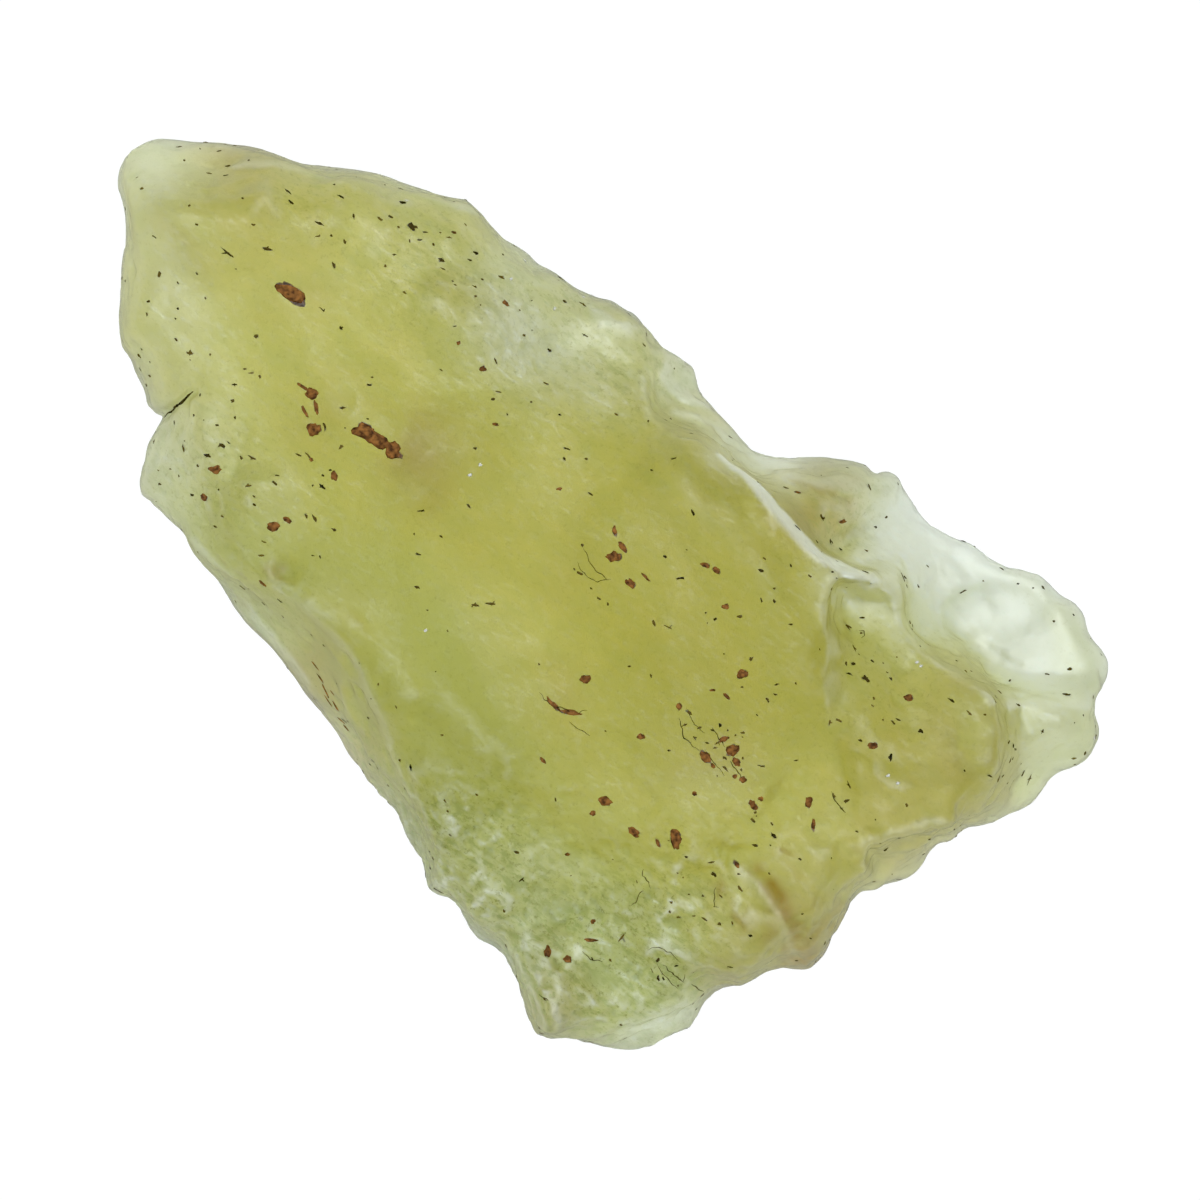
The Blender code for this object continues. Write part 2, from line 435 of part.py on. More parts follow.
class Stone:
    """The heights of the stone's two faces, in millimetres over the drawing."""

    def __init__(self):
        self.outline = curve_through(OUTLINE, RIM_STEP, closed=True)
        self.slab = spot_surface(SLAB_SPOTS)
        self.zones = [(zone, spot_surface(zone["spots"])) for zone in ZONES]
        self.underside = spot_surface(UNDERSIDE_SPOTS)
        self.rim = spot_surface(RIM_SPOTS)
        self.top_chips = scatter_chips(lambda where: is_inside(where, CHIPPED_END))
        self.under_chips = scatter_chips(self.near_outline)

    def near_outline(self, where):
        inward = distance_inside(where, self.outline)
        return (inward > 0.0) & (inward < UNDER_CHIP_BAND)

    def rest_clearance(self, where):
        """Roughly how far outside the flat rest spot each place lies."""
        out = in_ellipse(where, REST_CENTRE, REST_LONG, REST_SHORT, REST_HEADING_DEG)
        return np.clip(out - 1.0, 0.0, None) * REST_SHORT

    def full_under(self, where):
        """Height of the underside before the edge is rounded."""
        leave = smooth_step(self.rest_clearance(where) / UNDER_EASE)
        relief = hollow_depth(where, UNDER_HOLLOWS) + hollow_depth(where, self.under_chips)
        relief = relief + WAVE_HEIGHT * wave(where, WAVE_LENGTH, UNDER_WAVE)
        return leave * np.clip(self.underside(where) + relief, UNDER_LOWEST, None)

    def depth(self, where):
        """How thick the glass is before the edge is rounded and the small forms are cut."""
        depth = self.slab(where)
        for zone, surface in self.zones:
            share = zone_share(where, zone)
            depth = depth * (1.0 - share) + surface(where) * share
        return np.maximum(depth, THINNEST)

    def full_top(self, where):
        """Height of the upper face before the edge is rounded."""
        cut = hollow_depth(where, TOP_HOLLOWS) + hollow_depth(where, self.top_chips)
        cut = cut + line_depth(where, TOP_LINES) + WAVE_HEIGHT * wave(where, WAVE_LENGTH, TOP_WAVE)
        depth = self.depth(where)
        return self.full_under(where) + np.maximum(depth - np.minimum(cut, MOST_CUT * depth), THINNEST)

    def edge_share(self, where, reach_per_depth, level):
        """0 on the outline, growing to 1 where a face reaches its full height."""
        reach = EDGE_REACH + reach_per_depth * self.depth(where)
        reach = reach * (1.0 + REACH_WAVE * wave(where, REACH_WAVE_LENGTH, level))
        t = np.clip(distance_inside(where, self.outline) / reach, 0.0, 1.0)
        return (1.0 - (1.0 - t) ** EDGE_POWER) ** (1.0 / EDGE_POWER)

    def rim_height(self, where):
        under, top = self.full_under(where), self.full_top(where)
        margin = RIM_MARGIN * (top - under)
        return np.clip(self.rim(where) + wave(where, WAVE_LENGTH, RIM_WAVE), under + margin, top - margin)

    def warped(self, where, heights, rim):
        """Points of a face moved sideways by a wave that changes with height, but not at the outline."""
        points = np.column_stack([where, heights])
        waves = np.array([noise.noise_vector(Vector(point / WARP_LENGTH))[:2] for point in points])
        ease = smooth_step(np.abs(heights - rim) / WARP_EASE)
        points[:, :2] += WARP_SHIFT * ease[:, None] * waves
        return points

    def top(self, where):
        """Points of the upper face over the given places."""
        rim = self.rim_height(where)
        share = self.edge_share(where, TOP_REACH_PER_DEPTH, TOP_EDGE_WAVE)
        return self.warped(where, rim + (self.full_top(where) - rim) * share, rim)

    def under(self, where):
        """Points of the underside below the given places."""
        rim = self.rim_height(where)
        share = self.edge_share(where, UNDER_REACH_PER_DEPTH, UNDER_EDGE_WAVE)
        return self.warped(where, rim + (self.full_under(where) - rim) * share, rim)


def edge_rings(outline, depths):
    """Rings of points at the given depths inside the outline, left out where they would crowd."""
    before, after = np.roll(outline, 1, axis=0), np.roll(outline, -1, axis=0)
    run = after - before
    inward = np.column_stack([run[:, 1], -run[:, 0]]) / np.linalg.norm(run, axis=1)[:, None]
    kept = []
    for depth in depths:
        ring = outline + inward * depth
        true_depth = distance_inside(ring, outline)
        for point, reached in zip(ring, true_depth):
            crowded = any(math.dist(point, other) < RING_CROWDING * RIM_STEP for other in kept[-3:])
            if reached > RING_TRUTH * depth and not crowded:
                kept.append(tuple(point))
    return kept


def ledge_points(outline):
    """Points along the crest, the slope and the foot of every zone's ledge, so that the mesh follows them."""
    points = []
    for zone in ZONES:
        crest = curve_through(zone["ledge"], RIM_STEP, closed=False)
        run = np.gradient(crest, axis=0)
        side = np.column_stack([-run[:, 1], run[:, 0]]) / np.linalg.norm(run, axis=1)[:, None]
        border = zone["ledge"] + zone["beyond"]
        if distance_inside(crest + zone["width"] * side, border).mean() < 0.0:
            side = -side
        for share in LEDGE_LINES:
            line = crest + share * zone["width"] * side
            deep = distance_inside(line, outline) > LEDGE_RIM_GAP
            points += [tuple(point) for point in line[deep]]
    return points


def hexagon_points(outline, step, rim_clearance):
    """A honeycomb of points inside the outline, at least the clearance from it."""
    low, high = outline.min(axis=0), outline.max(axis=0)
    row_height = step * math.sqrt(3.0) / 2.0
    points = []
    row = 0
    y = low[1]
    while y < high[1]:
        start = low[0] + (step / 2.0 if row % 2 else 0.0)
        points += [(x, y) for x in np.arange(start, high[0], step)]
        y += row_height
        row += 1
    points = np.array(points)
    return points[distance_inside(points, outline) > rim_clearance]


def keep_apart(points, settled, gap):
    """The points that lie at least the gap away from every settled one."""
    if not len(settled):
        return points
    settled = np.array(settled)
    nearest = np.array([np.linalg.norm(settled - point, axis=1).min() for point in points])
    return points[nearest > gap]


def thin_out(points, gap):
    """Points in order, without those nearer than the gap to one already kept."""
    kept = []
    for point in points:
        if all(math.dist(point, other) > gap for other in kept):
            kept.append(point)
    return kept


def rest_outline():
    """Points around the flat rest spot."""
    heading = math.radians(REST_HEADING_DEG)
    points = []
    for index in range(REST_POINTS):
        turn = 2.0 * math.pi * index / REST_POINTS
        along, across = REST_LONG * math.cos(turn), REST_SHORT * math.sin(turn)
        points.append((REST_CENTRE[0] + along * math.cos(heading) - across * math.sin(heading),
                       REST_CENTRE[1] + along * math.sin(heading) + across * math.cos(heading)))
    return points


def triangulate(outline, inner):
    """Triangles over the outline and its inner points. The outline's points come first, in their order."""
    places = [Vector(point) for point in outline] + [Vector(point) for point in inner]
    rim = list(range(len(outline)))
    result = delaunay_2d_cdt(places, [], [rim], 1, 1e-7)
    return result[0], result[2]


def top_sheet(stone):
    rings = edge_rings(stone.outline, TOP_RINGS)
    ledges = thin_out(ledge_points(stone.outline), LEDGE_CROWDING * TOP_STEP)
    ledges = keep_apart(np.array(ledges), rings, LEDGE_RIM_GAP)
    settled = rings + [tuple(point) for point in ledges]
    inner = hexagon_points(stone.outline, TOP_STEP, TOP_RINGS[-1] + RING_CLEARANCE * TOP_STEP)
    inner = keep_apart(inner, settled, TOP_CROWDING * TOP_STEP)
    places, triangles = triangulate(stone.outline, settled + [tuple(point) for point in inner])
    return stone.top(np.array(places)), triangles


def under_sheet(stone):
    rings = edge_rings(stone.outline, UNDER_RINGS)
    settled = rings + rest_outline()
    inner = hexagon_points(stone.outline, UNDER_STEP, UNDER_RINGS[-1] + RING_CLEARANCE * UNDER_STEP)
    inner = keep_apart(inner, settled, UNDER_CROWDING * UNDER_STEP)
    inner = inner[in_ellipse(inner, REST_CENTRE, REST_LONG, REST_SHORT, REST_HEADING_DEG) > 1.0]
    places, triangles = triangulate(stone.outline, settled + [tuple(point) for point in inner])
    return stone.under(np.array(places)), triangles


def turned(points):
    """The drawing's points, turned and in metres."""
    turn = math.radians(TURN_DEG)
    x = points[:, 0] * math.cos(turn) - points[:, 1] * math.sin(turn)
    y = points[:, 0] * math.sin(turn) + points[:, 1] * math.cos(turn)
    return np.column_stack([x, y, points[:, 2]]) * MILLIMETRE


def build_mesh(stone):
    """Join the two sheets along the outline into one closed mesh."""
    rim_count = len(stone.outline)
    top_points, top_triangles = top_sheet(stone)
    under_points, under_triangles = under_sheet(stone)
    top, under = turned(top_points), turned(under_points)
    both = np.vstack([top, under])[:, :2]
    middle = (both.min(axis=0) + both.max(axis=0)) / 2.0
    top[:, :2] -= middle
    under[:, :2] -= middle
    body = bmesh.new()
    rim = [body.verts.new(point) for point in top[:rim_count]]
    top_verts = rim + [body.verts.new(point) for point in top[rim_count:]]
    under_verts = rim + [body.verts.new(point) for point in under[rim_count:]]
    for triangle in top_triangles:
        body.faces.new([top_verts[index] for index in triangle])
    for triangle in under_triangles:
        body.faces.new([under_verts[index] for index in reversed(triangle)])
    mesh = bpy.data.meshes.new("desert_glass")
    body.to_mesh(mesh)
    body.free()
    return mesh


def glass_material():
    material = bpy.data.materials.new("desert_glass")
    material.use_nodes = True
    shader = material.node_tree.nodes["Principled BSDF"]
    shader.inputs["Base Color"].default_value = GLASS_COLOUR
    shader.inputs["Roughness"].default_value = GLASS_ROUGHNESS
    shader.inputs["Metallic"].default_value = 0.0
    shader.inputs["IOR"].default_value = GLASS_IOR
    shader.inputs["Transmission Weight"].default_value = 1.0
    return material


def main():
    clear_scene()
    mesh = build_mesh(Stone())
    mesh.shade_smooth()
    mesh.materials.append(glass_material())
    bpy.context.scene.collection.objects.link(bpy.data.objects.new("desert_glass", mesh))


main()
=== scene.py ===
"""The looks of a piece of libyan desert glass, lying on a light table.

The stone is one see-through piece made from the CAD solid: its facets are worn smooth, then hollows, ledges,
Brown blebs, dark specks, curls and small white lumps for painted glints lie on the glass.
Places on the stone are given in millimetres on the drawing: u to the right and v up in the camera's view,
heights from the table.
"""

import json
import math
import random

import bpy
import numpy as np
from mathutils import Matrix, Vector, noise
from mathutils.bvhtree import BVHTree
from mathutils.kdtree import KDTree


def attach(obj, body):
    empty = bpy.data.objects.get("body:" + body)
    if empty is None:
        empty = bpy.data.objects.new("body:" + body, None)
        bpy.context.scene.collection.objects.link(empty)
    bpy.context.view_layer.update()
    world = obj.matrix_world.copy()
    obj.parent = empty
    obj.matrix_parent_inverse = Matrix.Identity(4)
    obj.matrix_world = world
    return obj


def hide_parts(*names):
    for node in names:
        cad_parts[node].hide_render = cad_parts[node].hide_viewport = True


NODE = "desert_glass"
BODY = "root"
MM = 0.001

# How the drawing lies on the row's axes
DRAWING_TURN = math.radians(35.0)
REST_POINT = (-0.4, -0.8)
RIM_HEIGHT = 4.2

# Camera, light table, lamp and room: metres and watts, but millimetres for the lens and the sensor
VIEW_WIDTH = 0.048
LENS = 250.0
SENSOR = 36.0
TABLE_HALF_WIDTH = 0.6
TABLE_DROP = 0.00002
TABLE_COLOUR = (0.02, 0.02, 0.02, 1.0)
TABLE_LIGHT = (0.985, 1.0, 1.0, 1.0)
TABLE_GLOW = 1.0
TABLE_GLOW_FAR = 0.56
GLOW_EDGE = (0.030, 0.090)
ROOM_LIGHT = (0.97, 0.99, 1.0, 1.0)
WORLD_GLOW = 0.32
ZENITH_GLOW = 1.2
LAMP_PLACE = (-0.12, 0.16, 0.40)
LAMP_SIZE = 0.25
LAMP_POWER = 0.25

# Wear of the surface, in millimetres
VOXEL = 0.145
WELD_DISTANCE = 0.0001
UNDERSIDE_SHARE = 0.08
SMOOTHING_ROUNDS = 4
SWELL = 0.07
REST_SPOT = (6.8, 4.7)

# What makes each run draw the same: the noise, the hollows and the specks
NOISE_SEED = 3
HOLLOW_SEED = 7
SPECK_SEED = 11

# Low waves and fine grain of the surface: wave length, height, roughness, step between octaves, shift
SURFACE_WAVES = (
    (3.5, 0.045, 0.9, 2.1, (0.0, 0.0, 0.0)),
    (0.55, 0.010, 0.7, 2.2, (9.0, 3.0, 5.0)),
)

# Waves that bend the edges of the hollows: wave length and how far they shift
HOLLOW_WAVES = ((0.9, 0.28), (0.3, 0.07))

# Where the stone is broken: the foot's edge as v at u = 0 and slope, u of the right end, a patch at the left
FOOT_EDGE = (-8.5, -0.15)
RIGHT_END = 11.0
ZONE_FADE = 1.2
LEFT_LOBE = (-15.5, 6.0, 3.0, 0.25)

# Ledges and cliff: sway, reach below the crest, softness of the cliff's edge, its rise and the strength of
# its painted highlight
LEDGE_SWAY = 0.08
LEDGE_REACH = 0.4
CLIFF_REACH = 0.5
CLIFF_EDGE = 0.14
CLIFF_RISE = 0.05
CLIFF_HIGHLIGHT = 0.88

# Bend of the surface where the painted highlight on a ridge and the painted shade in a hollow begin to show,
# and how much more shows them fully
RIDGE_BEND = (0.0015, 0.008)
HOLLOW_BEND = (0.001, 0.006)

# The glass: how it bends and absorbs light, and the tones laid over each other at its surface. The edge and
# hollow tones are painted shade; the brown tone is brown stain and partly painted shade; the pale tone is
# partly a painted glow of thin glass; the frost tone is frosting and partly a painted highlight.
GLASS_IOR = 1.46
GLASS_COLOUR = (0.750, 0.712, 0.0, 1.0)
GLASS_DENSITY = 255.0
CLEAR_TONES = ((0.80, 0.88, 0.80), (1.0, 1.0, 1.0))
GREEN_TONE = (0.78, 0.87, 0.87)
BROWN_AND_SHADE_TONE = (0.42, 0.22, 0.06)
EDGE_SHADE_TONE = (0.34, 0.35, 0.27)
PALE_TONE = (0.93, 1.0, 0.97)
MOTTLE_TONE = (0.40, 0.52, 0.38)
HOLLOW_SHADE_TONE = (0.40, 0.50, 0.34)
GRAIN_TONE = (0.26, 0.30, 0.16)
FROST_AND_HIGHLIGHT_TONE = (0.96, 1.0, 0.96)

# Cloudy patterns in the glass: fineness, detail, roughness, distortion; the first three are drawn out along X
PATTERN_STRETCH = (1.0, 2.6, 1.4)
WISPS = (600.0, 7.0, 0.6, 0.0)
MOTTLES = (1300.0, 7.0, 0.75, 0.3)
FLECKS = (2200.0, 2.0, 0.65, 0.0)
FINE_GRAIN = (4500.0, 4.0, 0.75, 0.0)

# Looks of the small things: name, darkest and lightest colour, roughness, transmission, IOR, fineness
BLEB_LOOK = ("brown_bleb", (0.09, 0.035, 0.008), (0.46, 0.20, 0.05), 0.5, 0.4, 1.3, 5000.0)
SPECK_LOOK = ("dark_speck", (0.012, 0.011, 0.003), (0.15, 0.11, 0.025), 0.7, 0.0, 1.5, 900.0)
# The glints' look: white lumps that stand for painted highlights.
GLINT_LOOK = ("painted_glint", (0.85, 0.87, 0.80), (0.97, 0.98, 0.95), 0.4, 0.3, 1.46, 5000.0)
CURL_LOOK = ("dark_curl", (0.02, 0.018, 0.006), (0.10, 0.08, 0.02), 0.6, 0.0, 1.5, 5000.0)

# Their shapes: widths, sizes and sway in millimetres, turns in degrees, the rest as shares and counts
BLEB_RINGS = 8
BLEB_THICKNESS = 0.25
BLEB_SWELL = 1.05
SPECK_RINGS = 4
SPECK_SUNK = 0.02
SPECK_WIDTH = (0.05, 0.12)
GRAIN_SHARES = (0.9, 0.85, 0.4)
ARM_SHARES = (0.55, 0.6, 0.4)
ARM_TURN = (35.0, 85.0)
ARM_SHIFT = 0.2
SPECK_HEADING = -35.0
SCATTERED_SPECKS = 560
SCATTERED_WIDTH = (0.04, 0.10)
SCATTERED_FLOOR = 0.3
LEFT_OUT_ON_TOP = 0.8
# Size and turn of the painted glints.
GLINT_SIZE = (0.18, 0.13, 0.06)
GLINT_TURN = 34.4
CURL_SIDES = 6
CURL_SWAY = 0.08

# Kinds of hollows: name, count, least and greatest radius, depth as a share of the radius
HOLLOWS = (
    ("top", 60, 1.2, 3.0, 0.010),
    ("top", 320, 0.2, 0.6, 0.050),
    ("rim", 200, 0.6, 1.4, 0.06),
    ("rim", 600, 0.16, 0.5, 0.18),
    ("under", 160, 0.9, 2.2, 0.03),
    ("broken", 240, 0.5, 1.4, 0.15),
    ("broken", 700, 0.14, 0.45, 0.2),
    ("any", 900, 0.12, 0.26, 0.18),
)

# Ledges: half width, fade to the left of the line and to its right, rise, whitening (frosting and a painted
# highlight), then the line
LEDGES = (
    (0.02, 0.5, 0.1, 0.08, 0.4, ((-12.0, 17.0), (-10.0, 16.5), (-8.4, 16.3), (-6.8, 15.85), (-4.8, 15.3))),
    (0.02, 0.3, 0.08, 0.08, 0.4, ((-15.2, 18.0), (-14.4, 17.85), (-13.4, 17.75))),
    (0.02, 0.3, 0.08, 0.08, 0.4, ((-14.4, 17.05), (-13.4, 17.05), (-12.8, 17.15), (-11.3, 16.9))),
    (0.03, 0.4, 0.07, 0.08, 0.5, ((1.1, 10.9), (0.75, 11.0), (0.2, 11.15), (-0.1, 11.45))),
    (0.03, 0.5, 0.07, 0.08, 0.5, ((2.4, 9.1), (2.35, 8.75), (2.6, 8.5), (2.95, 8.15), (3.35, 7.9))),
    (0.03, 0.2, 0.08, 0.08, 0.5, ((3.2, 7.9), (3.7, 7.75), (4.3, 7.7))),
    (0.02, 0.25, 0.08, 0.08, 0.5, ((2.6, 6.85), (3.6, 6.6), (4.6, 6.0), (5.8, 5.6))),
    (0.02, 0.25, 0.08, 0.08, 0.5, ((2.9, 7.3), (3.8, 7.15), (4.6, 6.75), (5.4, 6.1))),
    (0.04, 0.7, 0.08, 0.1, 0.62, (
        (10.85, 0.7), (11.45, 0.1), (11.8, -0.9), (12.15, -1.4), (12.75, -1.9), (13.3, -2.55), (14.1, -3.0),
        (14.85, -3.5), (15.3, -4.0), (15.95, -4.3), (17.4, -4.25), (19.7, -4.4),
    )),
    (0.02, 0.4, 0.08, 0.07, 0.4, ((13.5, -0.7), (13.65, -1.25), (13.9, -1.75), (14.5, -2.45), (15.0, -2.7))),
    (0.02, 0.6, 0.1, 0.09, 0.4, (
        (13.45, 1.5), (13.8, 0.7), (14.3, -0.2), (14.85, -0.9), (15.3, -1.5), (16.7, -2.45),
    )),
    (0.02, 0.8, 0.07, 0.06, 0.3, (
        (8.9, 0.65), (8.65, 0.1), (8.6, -0.5), (8.7, -1.1), (8.95, -1.65), (8.8, -2.7), (8.8, -3.8),
    )),
    (0.02, 0.3, 0.06, 0.06, 0.3, ((10.8, -6.5), (10.9, -6.95), (11.3, -7.3), (11.9, -7.4))),
    (0.03, 0.6, 0.07, 0.1, 0.32, (
        (15.45, -6.45), (15.35, -7.3), (15.0, -8.0), (14.6, -8.5), (14.3, -8.65), (12.85, -8.7), (12.4, -8.9),
        (11.5, -9.05), (11.0, -9.3), (10.6, -9.4),
    )),
    (0.02, 0.3, 0.07, 0.06, 0.2, ((10.25, -9.55), (10.4, -11.5))),
    (0.03, 0.06, 0.06, 0.06, 0.12, ((-12.8, 1.6), (-13.05, 1.15), (-13.05, 0.85), (-12.5, 0.7))),
    (0.02, 0.1, 0.3, 0.07, 0.18, (
        (-12.45, 0.65), (-11.4, -0.25), (-10.3, -1.35), (-9.25, -2.75), (-8.5, -4.5), (-7.95, -6.3),
        (-7.6, -8.0),
    )),
    (0.02, 0.6, 0.1, 0.05, 0.35, (
        (-11.5, -3.25), (-12.45, -2.0), (-13.4, -0.9), (-14.7, 1.1), (-15.9, 2.3), (-16.85, 3.0),
    )),
    (0.02, 0.5, 0.1, 0.05, 0.4, ((-2.1, -16.8), (-2.75, -15.5), (-3.2, -14.25))),
    (0.03, 0.6, 0.07, 0.08, 0.35, ((4.1, -15.7), (2.9, -15.95), (1.6, -16.6), (0.0, -17.7))),
    (0.02, 0.3, 0.07, 0.08, 0.5, (
        (1.95, -13.9), (2.15, -13.65), (2.5, -13.65), (3.1, -14.0), (3.45, -14.15),
    )),
    (0.03, 0.25, 0.1, 0.08, 0.28, (
        (7.8, -14.3), (7.45, -13.3), (7.0, -12.4), (6.5, -11.7), (6.0, -11.1), (5.5, -10.6),
    )),
    (0.02, 0.6, 0.1, 0.07, 0.35, ((7.1, 4.9), (7.8, 4.7), (8.8, 4.35), (10.1, 4.25))),
)

# The cliff above the shelf, whose bright band is a painted highlight: u, v, half width
CLIFF = (
    (4.6, 5.65, 0.03), (5.6, 4.95, 0.1), (6.35, 4.1, 0.14), (7.1, 3.2, 0.15), (7.85, 2.35, 0.16),
    (8.6, 1.7, 0.19), (9.35, 1.3, 0.18), (10.1, 0.95, 0.11), (11.0, 0.7, 0.02),
)

# Grooves and dents: half width, depth, then the points of the line
GROOVES = (
    (0.16, 0.22, ((-17.4, 7.3), (-16.9, 7.65), (-16.45, 7.95), (-16.05, 8.25))),
    (0.4, 0.12, ((-12.55, 1.35), (-12.4, 1.1))),
    (0.16, 0.14, ((10.5, -9.1), (10.7, -9.8))),
    (0.45, 0.25, ((6.2, -11.1), (6.7, -11.8))),
    (0.16, 0.12, ((5.7, -10.75), (6.5, -11.7), (7.1, -12.55), (7.55, -13.7), (7.9, -14.55))),
    (0.45, 0.12, ((4.4, 7.0), (5.1, 6.7))),
    (0.3, 0.04, ((13.45, 1.9), (14.2, 0.3), (14.85, -1.1))),
    (0.3, 0.16, ((10.85, 0.6), (11.4, 0.15))),
    (0.55, 0.15, ((-3.7, -11.1), (-3.4, -11.4))),
    (0.14, 0.12, ((3.7, 8.35), (3.9, 8.1))),
    (0.14, 0.12, ((4.1, 8.0), (4.3, 7.8))),
    (0.2, 0.14, ((1.3, 11.4), (1.6, 11.2))),
    (0.2, 0.14, ((2.0, 10.4), (2.2, 10.2))),
)

# Small corrections of the outline: u, v, radius, outwards
RIM_SHIFTS = (
    (-17.6, 7.9, 0.6, 0.35), (-18.2, 9.0, 0.6, 0.15), (-3.3, 14.0, 0.8, 0.2), (19.1, -0.6, 0.7, 0.25),
    (11.6, 4.8, 0.7, 0.2), (12.2, -10.8, 1.1, 0.25), (17.0, -8.0, 1.2, 0.15), (-6.6, -11.5, 0.7, 0.25),
    (-4.8, -13.3, 0.7, 0.2), (1.6, -17.6, 1.5, 0.2), (3.6, -16.4, 0.7, 0.15), (-11.6, -3.9, 0.7, 0.15),
    (-18.9, 18.1, 0.8, -0.25), (-19.3, 12.6, 1.2, -0.12), (-11.6, 17.5, 1.2, -0.12), (6.8, -15.2, 0.9, -0.2),
    (20.0, -4.8, 0.9, -0.15), (-3.4, -15.2, 1.0, -0.12), (3.2, 10.0, 0.8, -0.12), (-10.5, -5.4, 0.9, -0.12),
)

# Brown blebs in the glass: u, v, length, width, heading in degrees
BLEBS = (
    (-12.1, 12.0, 1.25, 0.52, -36), (-11.65, 8.35, 0.55, 0.12, -32), (-11.32, 8.1, 0.48, 0.4, 0),
    (-11.15, 7.55, 0.56, 0.16, -80), (-11.6, 7.4, 0.5, 0.12, -60), (-11.22, 6.72, 0.54, 0.48, 10),
    (-9.25, 6.62, 0.85, 0.55, -20), (-8.7, 6.25, 0.95, 0.5, -36), (-8.1, 5.85, 0.75, 0.5, -42),
    (-15.2, 5.15, 0.5, 0.3, 0), (-15.65, 4.05, 0.4, 0.26, 0), (-12.85, 2.88, 0.46, 0.34, -10),
    (-12.3, 3.15, 0.36, 0.18, -30), (-10.45, 4.88, 0.36, 0.26, -60), (-11.35, 5.52, 0.16, 0.14, 0),
    (-13.3, 0.65, 0.34, 0.16, -30), (0.58, 2.7, 0.4, 0.18, -72), (0.88, 2.1, 0.5, 0.18, -52),
    (0.52, 1.7, 0.52, 0.42, 0), (1.2, 0.65, 0.4, 0.26, -40), (1.8, 0.88, 0.44, 0.1, -45),
    (4.12, 1.36, 0.34, 0.18, -20), (4.56, 1.16, 0.36, 0.2, -25), (4.92, -0.25, 0.26, 0.2, 0),
    (5.56, -2.88, 0.4, 0.34, 20), (-0.56, -3.1, 0.4, 0.34, 0), (-1.85, -4.1, 0.75, 0.16, -45),
    (-1.2, -4.4, 0.75, 0.18, -8), (4.4, -3.52, 0.22, 0.1, 0), (4.95, -3.76, 0.34, 0.12, -45),
    (3.1, -4.16, 0.2, 0.28, 0), (5.2, -5.9, 0.48, 0.4, 60), (4.85, -5.45, 0.4, 0.2, 20),
    (5.35, -6.35, 0.36, 0.24, -50), (4.15, -6.15, 0.55, 0.28, -55), (4.42, -6.5, 0.22, 0.12, -50),
    (5.6, -7.05, 0.28, 0.22, 0), (5.28, -6.92, 0.2, 0.14, 40), (-2.25, -6.3, 0.28, 0.14, -50),
    (1.6, -5.36, 0.28, 0.24, 0), (0.2, -7.92, 0.52, 0.34, -10), (-0.28, -8.4, 0.24, 0.2, 0),
    (1.32, -9.12, 0.46, 0.32, -40), (2.96, -9.36, 0.76, 0.46, 88), (2.28, -9.56, 0.36, 0.14, -70),
    (-1.28, -10.05, 0.2, 0.16, 0), (3.7, -7.6, 0.2, 0.16, 0), (6.0, -8.05, 0.44, 0.26, -50),
    (6.32, -7.8, 0.2, 0.16, 0), (8.2, -7.95, 0.44, 0.28, 85), (8.4, -8.85, 0.5, 0.15, 88),
    (5.36, -10.4, 0.36, 0.15, -50), (-2.08, -13.9, 0.4, 0.24, 80), (-1.28, -14.2, 0.3, 0.28, 0),
    (-0.28, -12.72, 0.2, 0.18, 0), (-0.35, -13.45, 0.46, 0.14, -5), (-5.56, 10.1, 0.15, 0.14, 0),
    (-5.76, 14.5, 0.2, 0.12, 0), (-4.6, 9.1, 0.26, 0.22, 0), (-3.72, 11.7, 0.28, 0.2, 0),
    (-4.1, 6.9, 0.24, 0.12, 0), (-1.6, 4.36, 0.2, 0.12, 0), (10.7, -5.7, 0.36, 0.26, 0),
    (12.15, -3.85, 0.34, 0.26, 0), (9.6, 3.1, 0.42, 0.15, -15), (7.8, 4.25, 0.24, 0.15, 0),
    (-11.1, -3.1, 0.5, 0.1, -60), (-10.9, -3.6, 0.6, 0.09, -55), (-10.5, -4.2, 0.45, 0.1, -60),
    (-10.3, -4.8, 0.4, 0.12, -55), (-10.1, -5.1, 0.3, 0.1, -50), (-10.8, -4.0, 0.5, 0.08, -65),
    (-11.3, -2.6, 0.4, 0.08, -50), (-10.6, -3.7, 0.3, 0.08, -40),
)

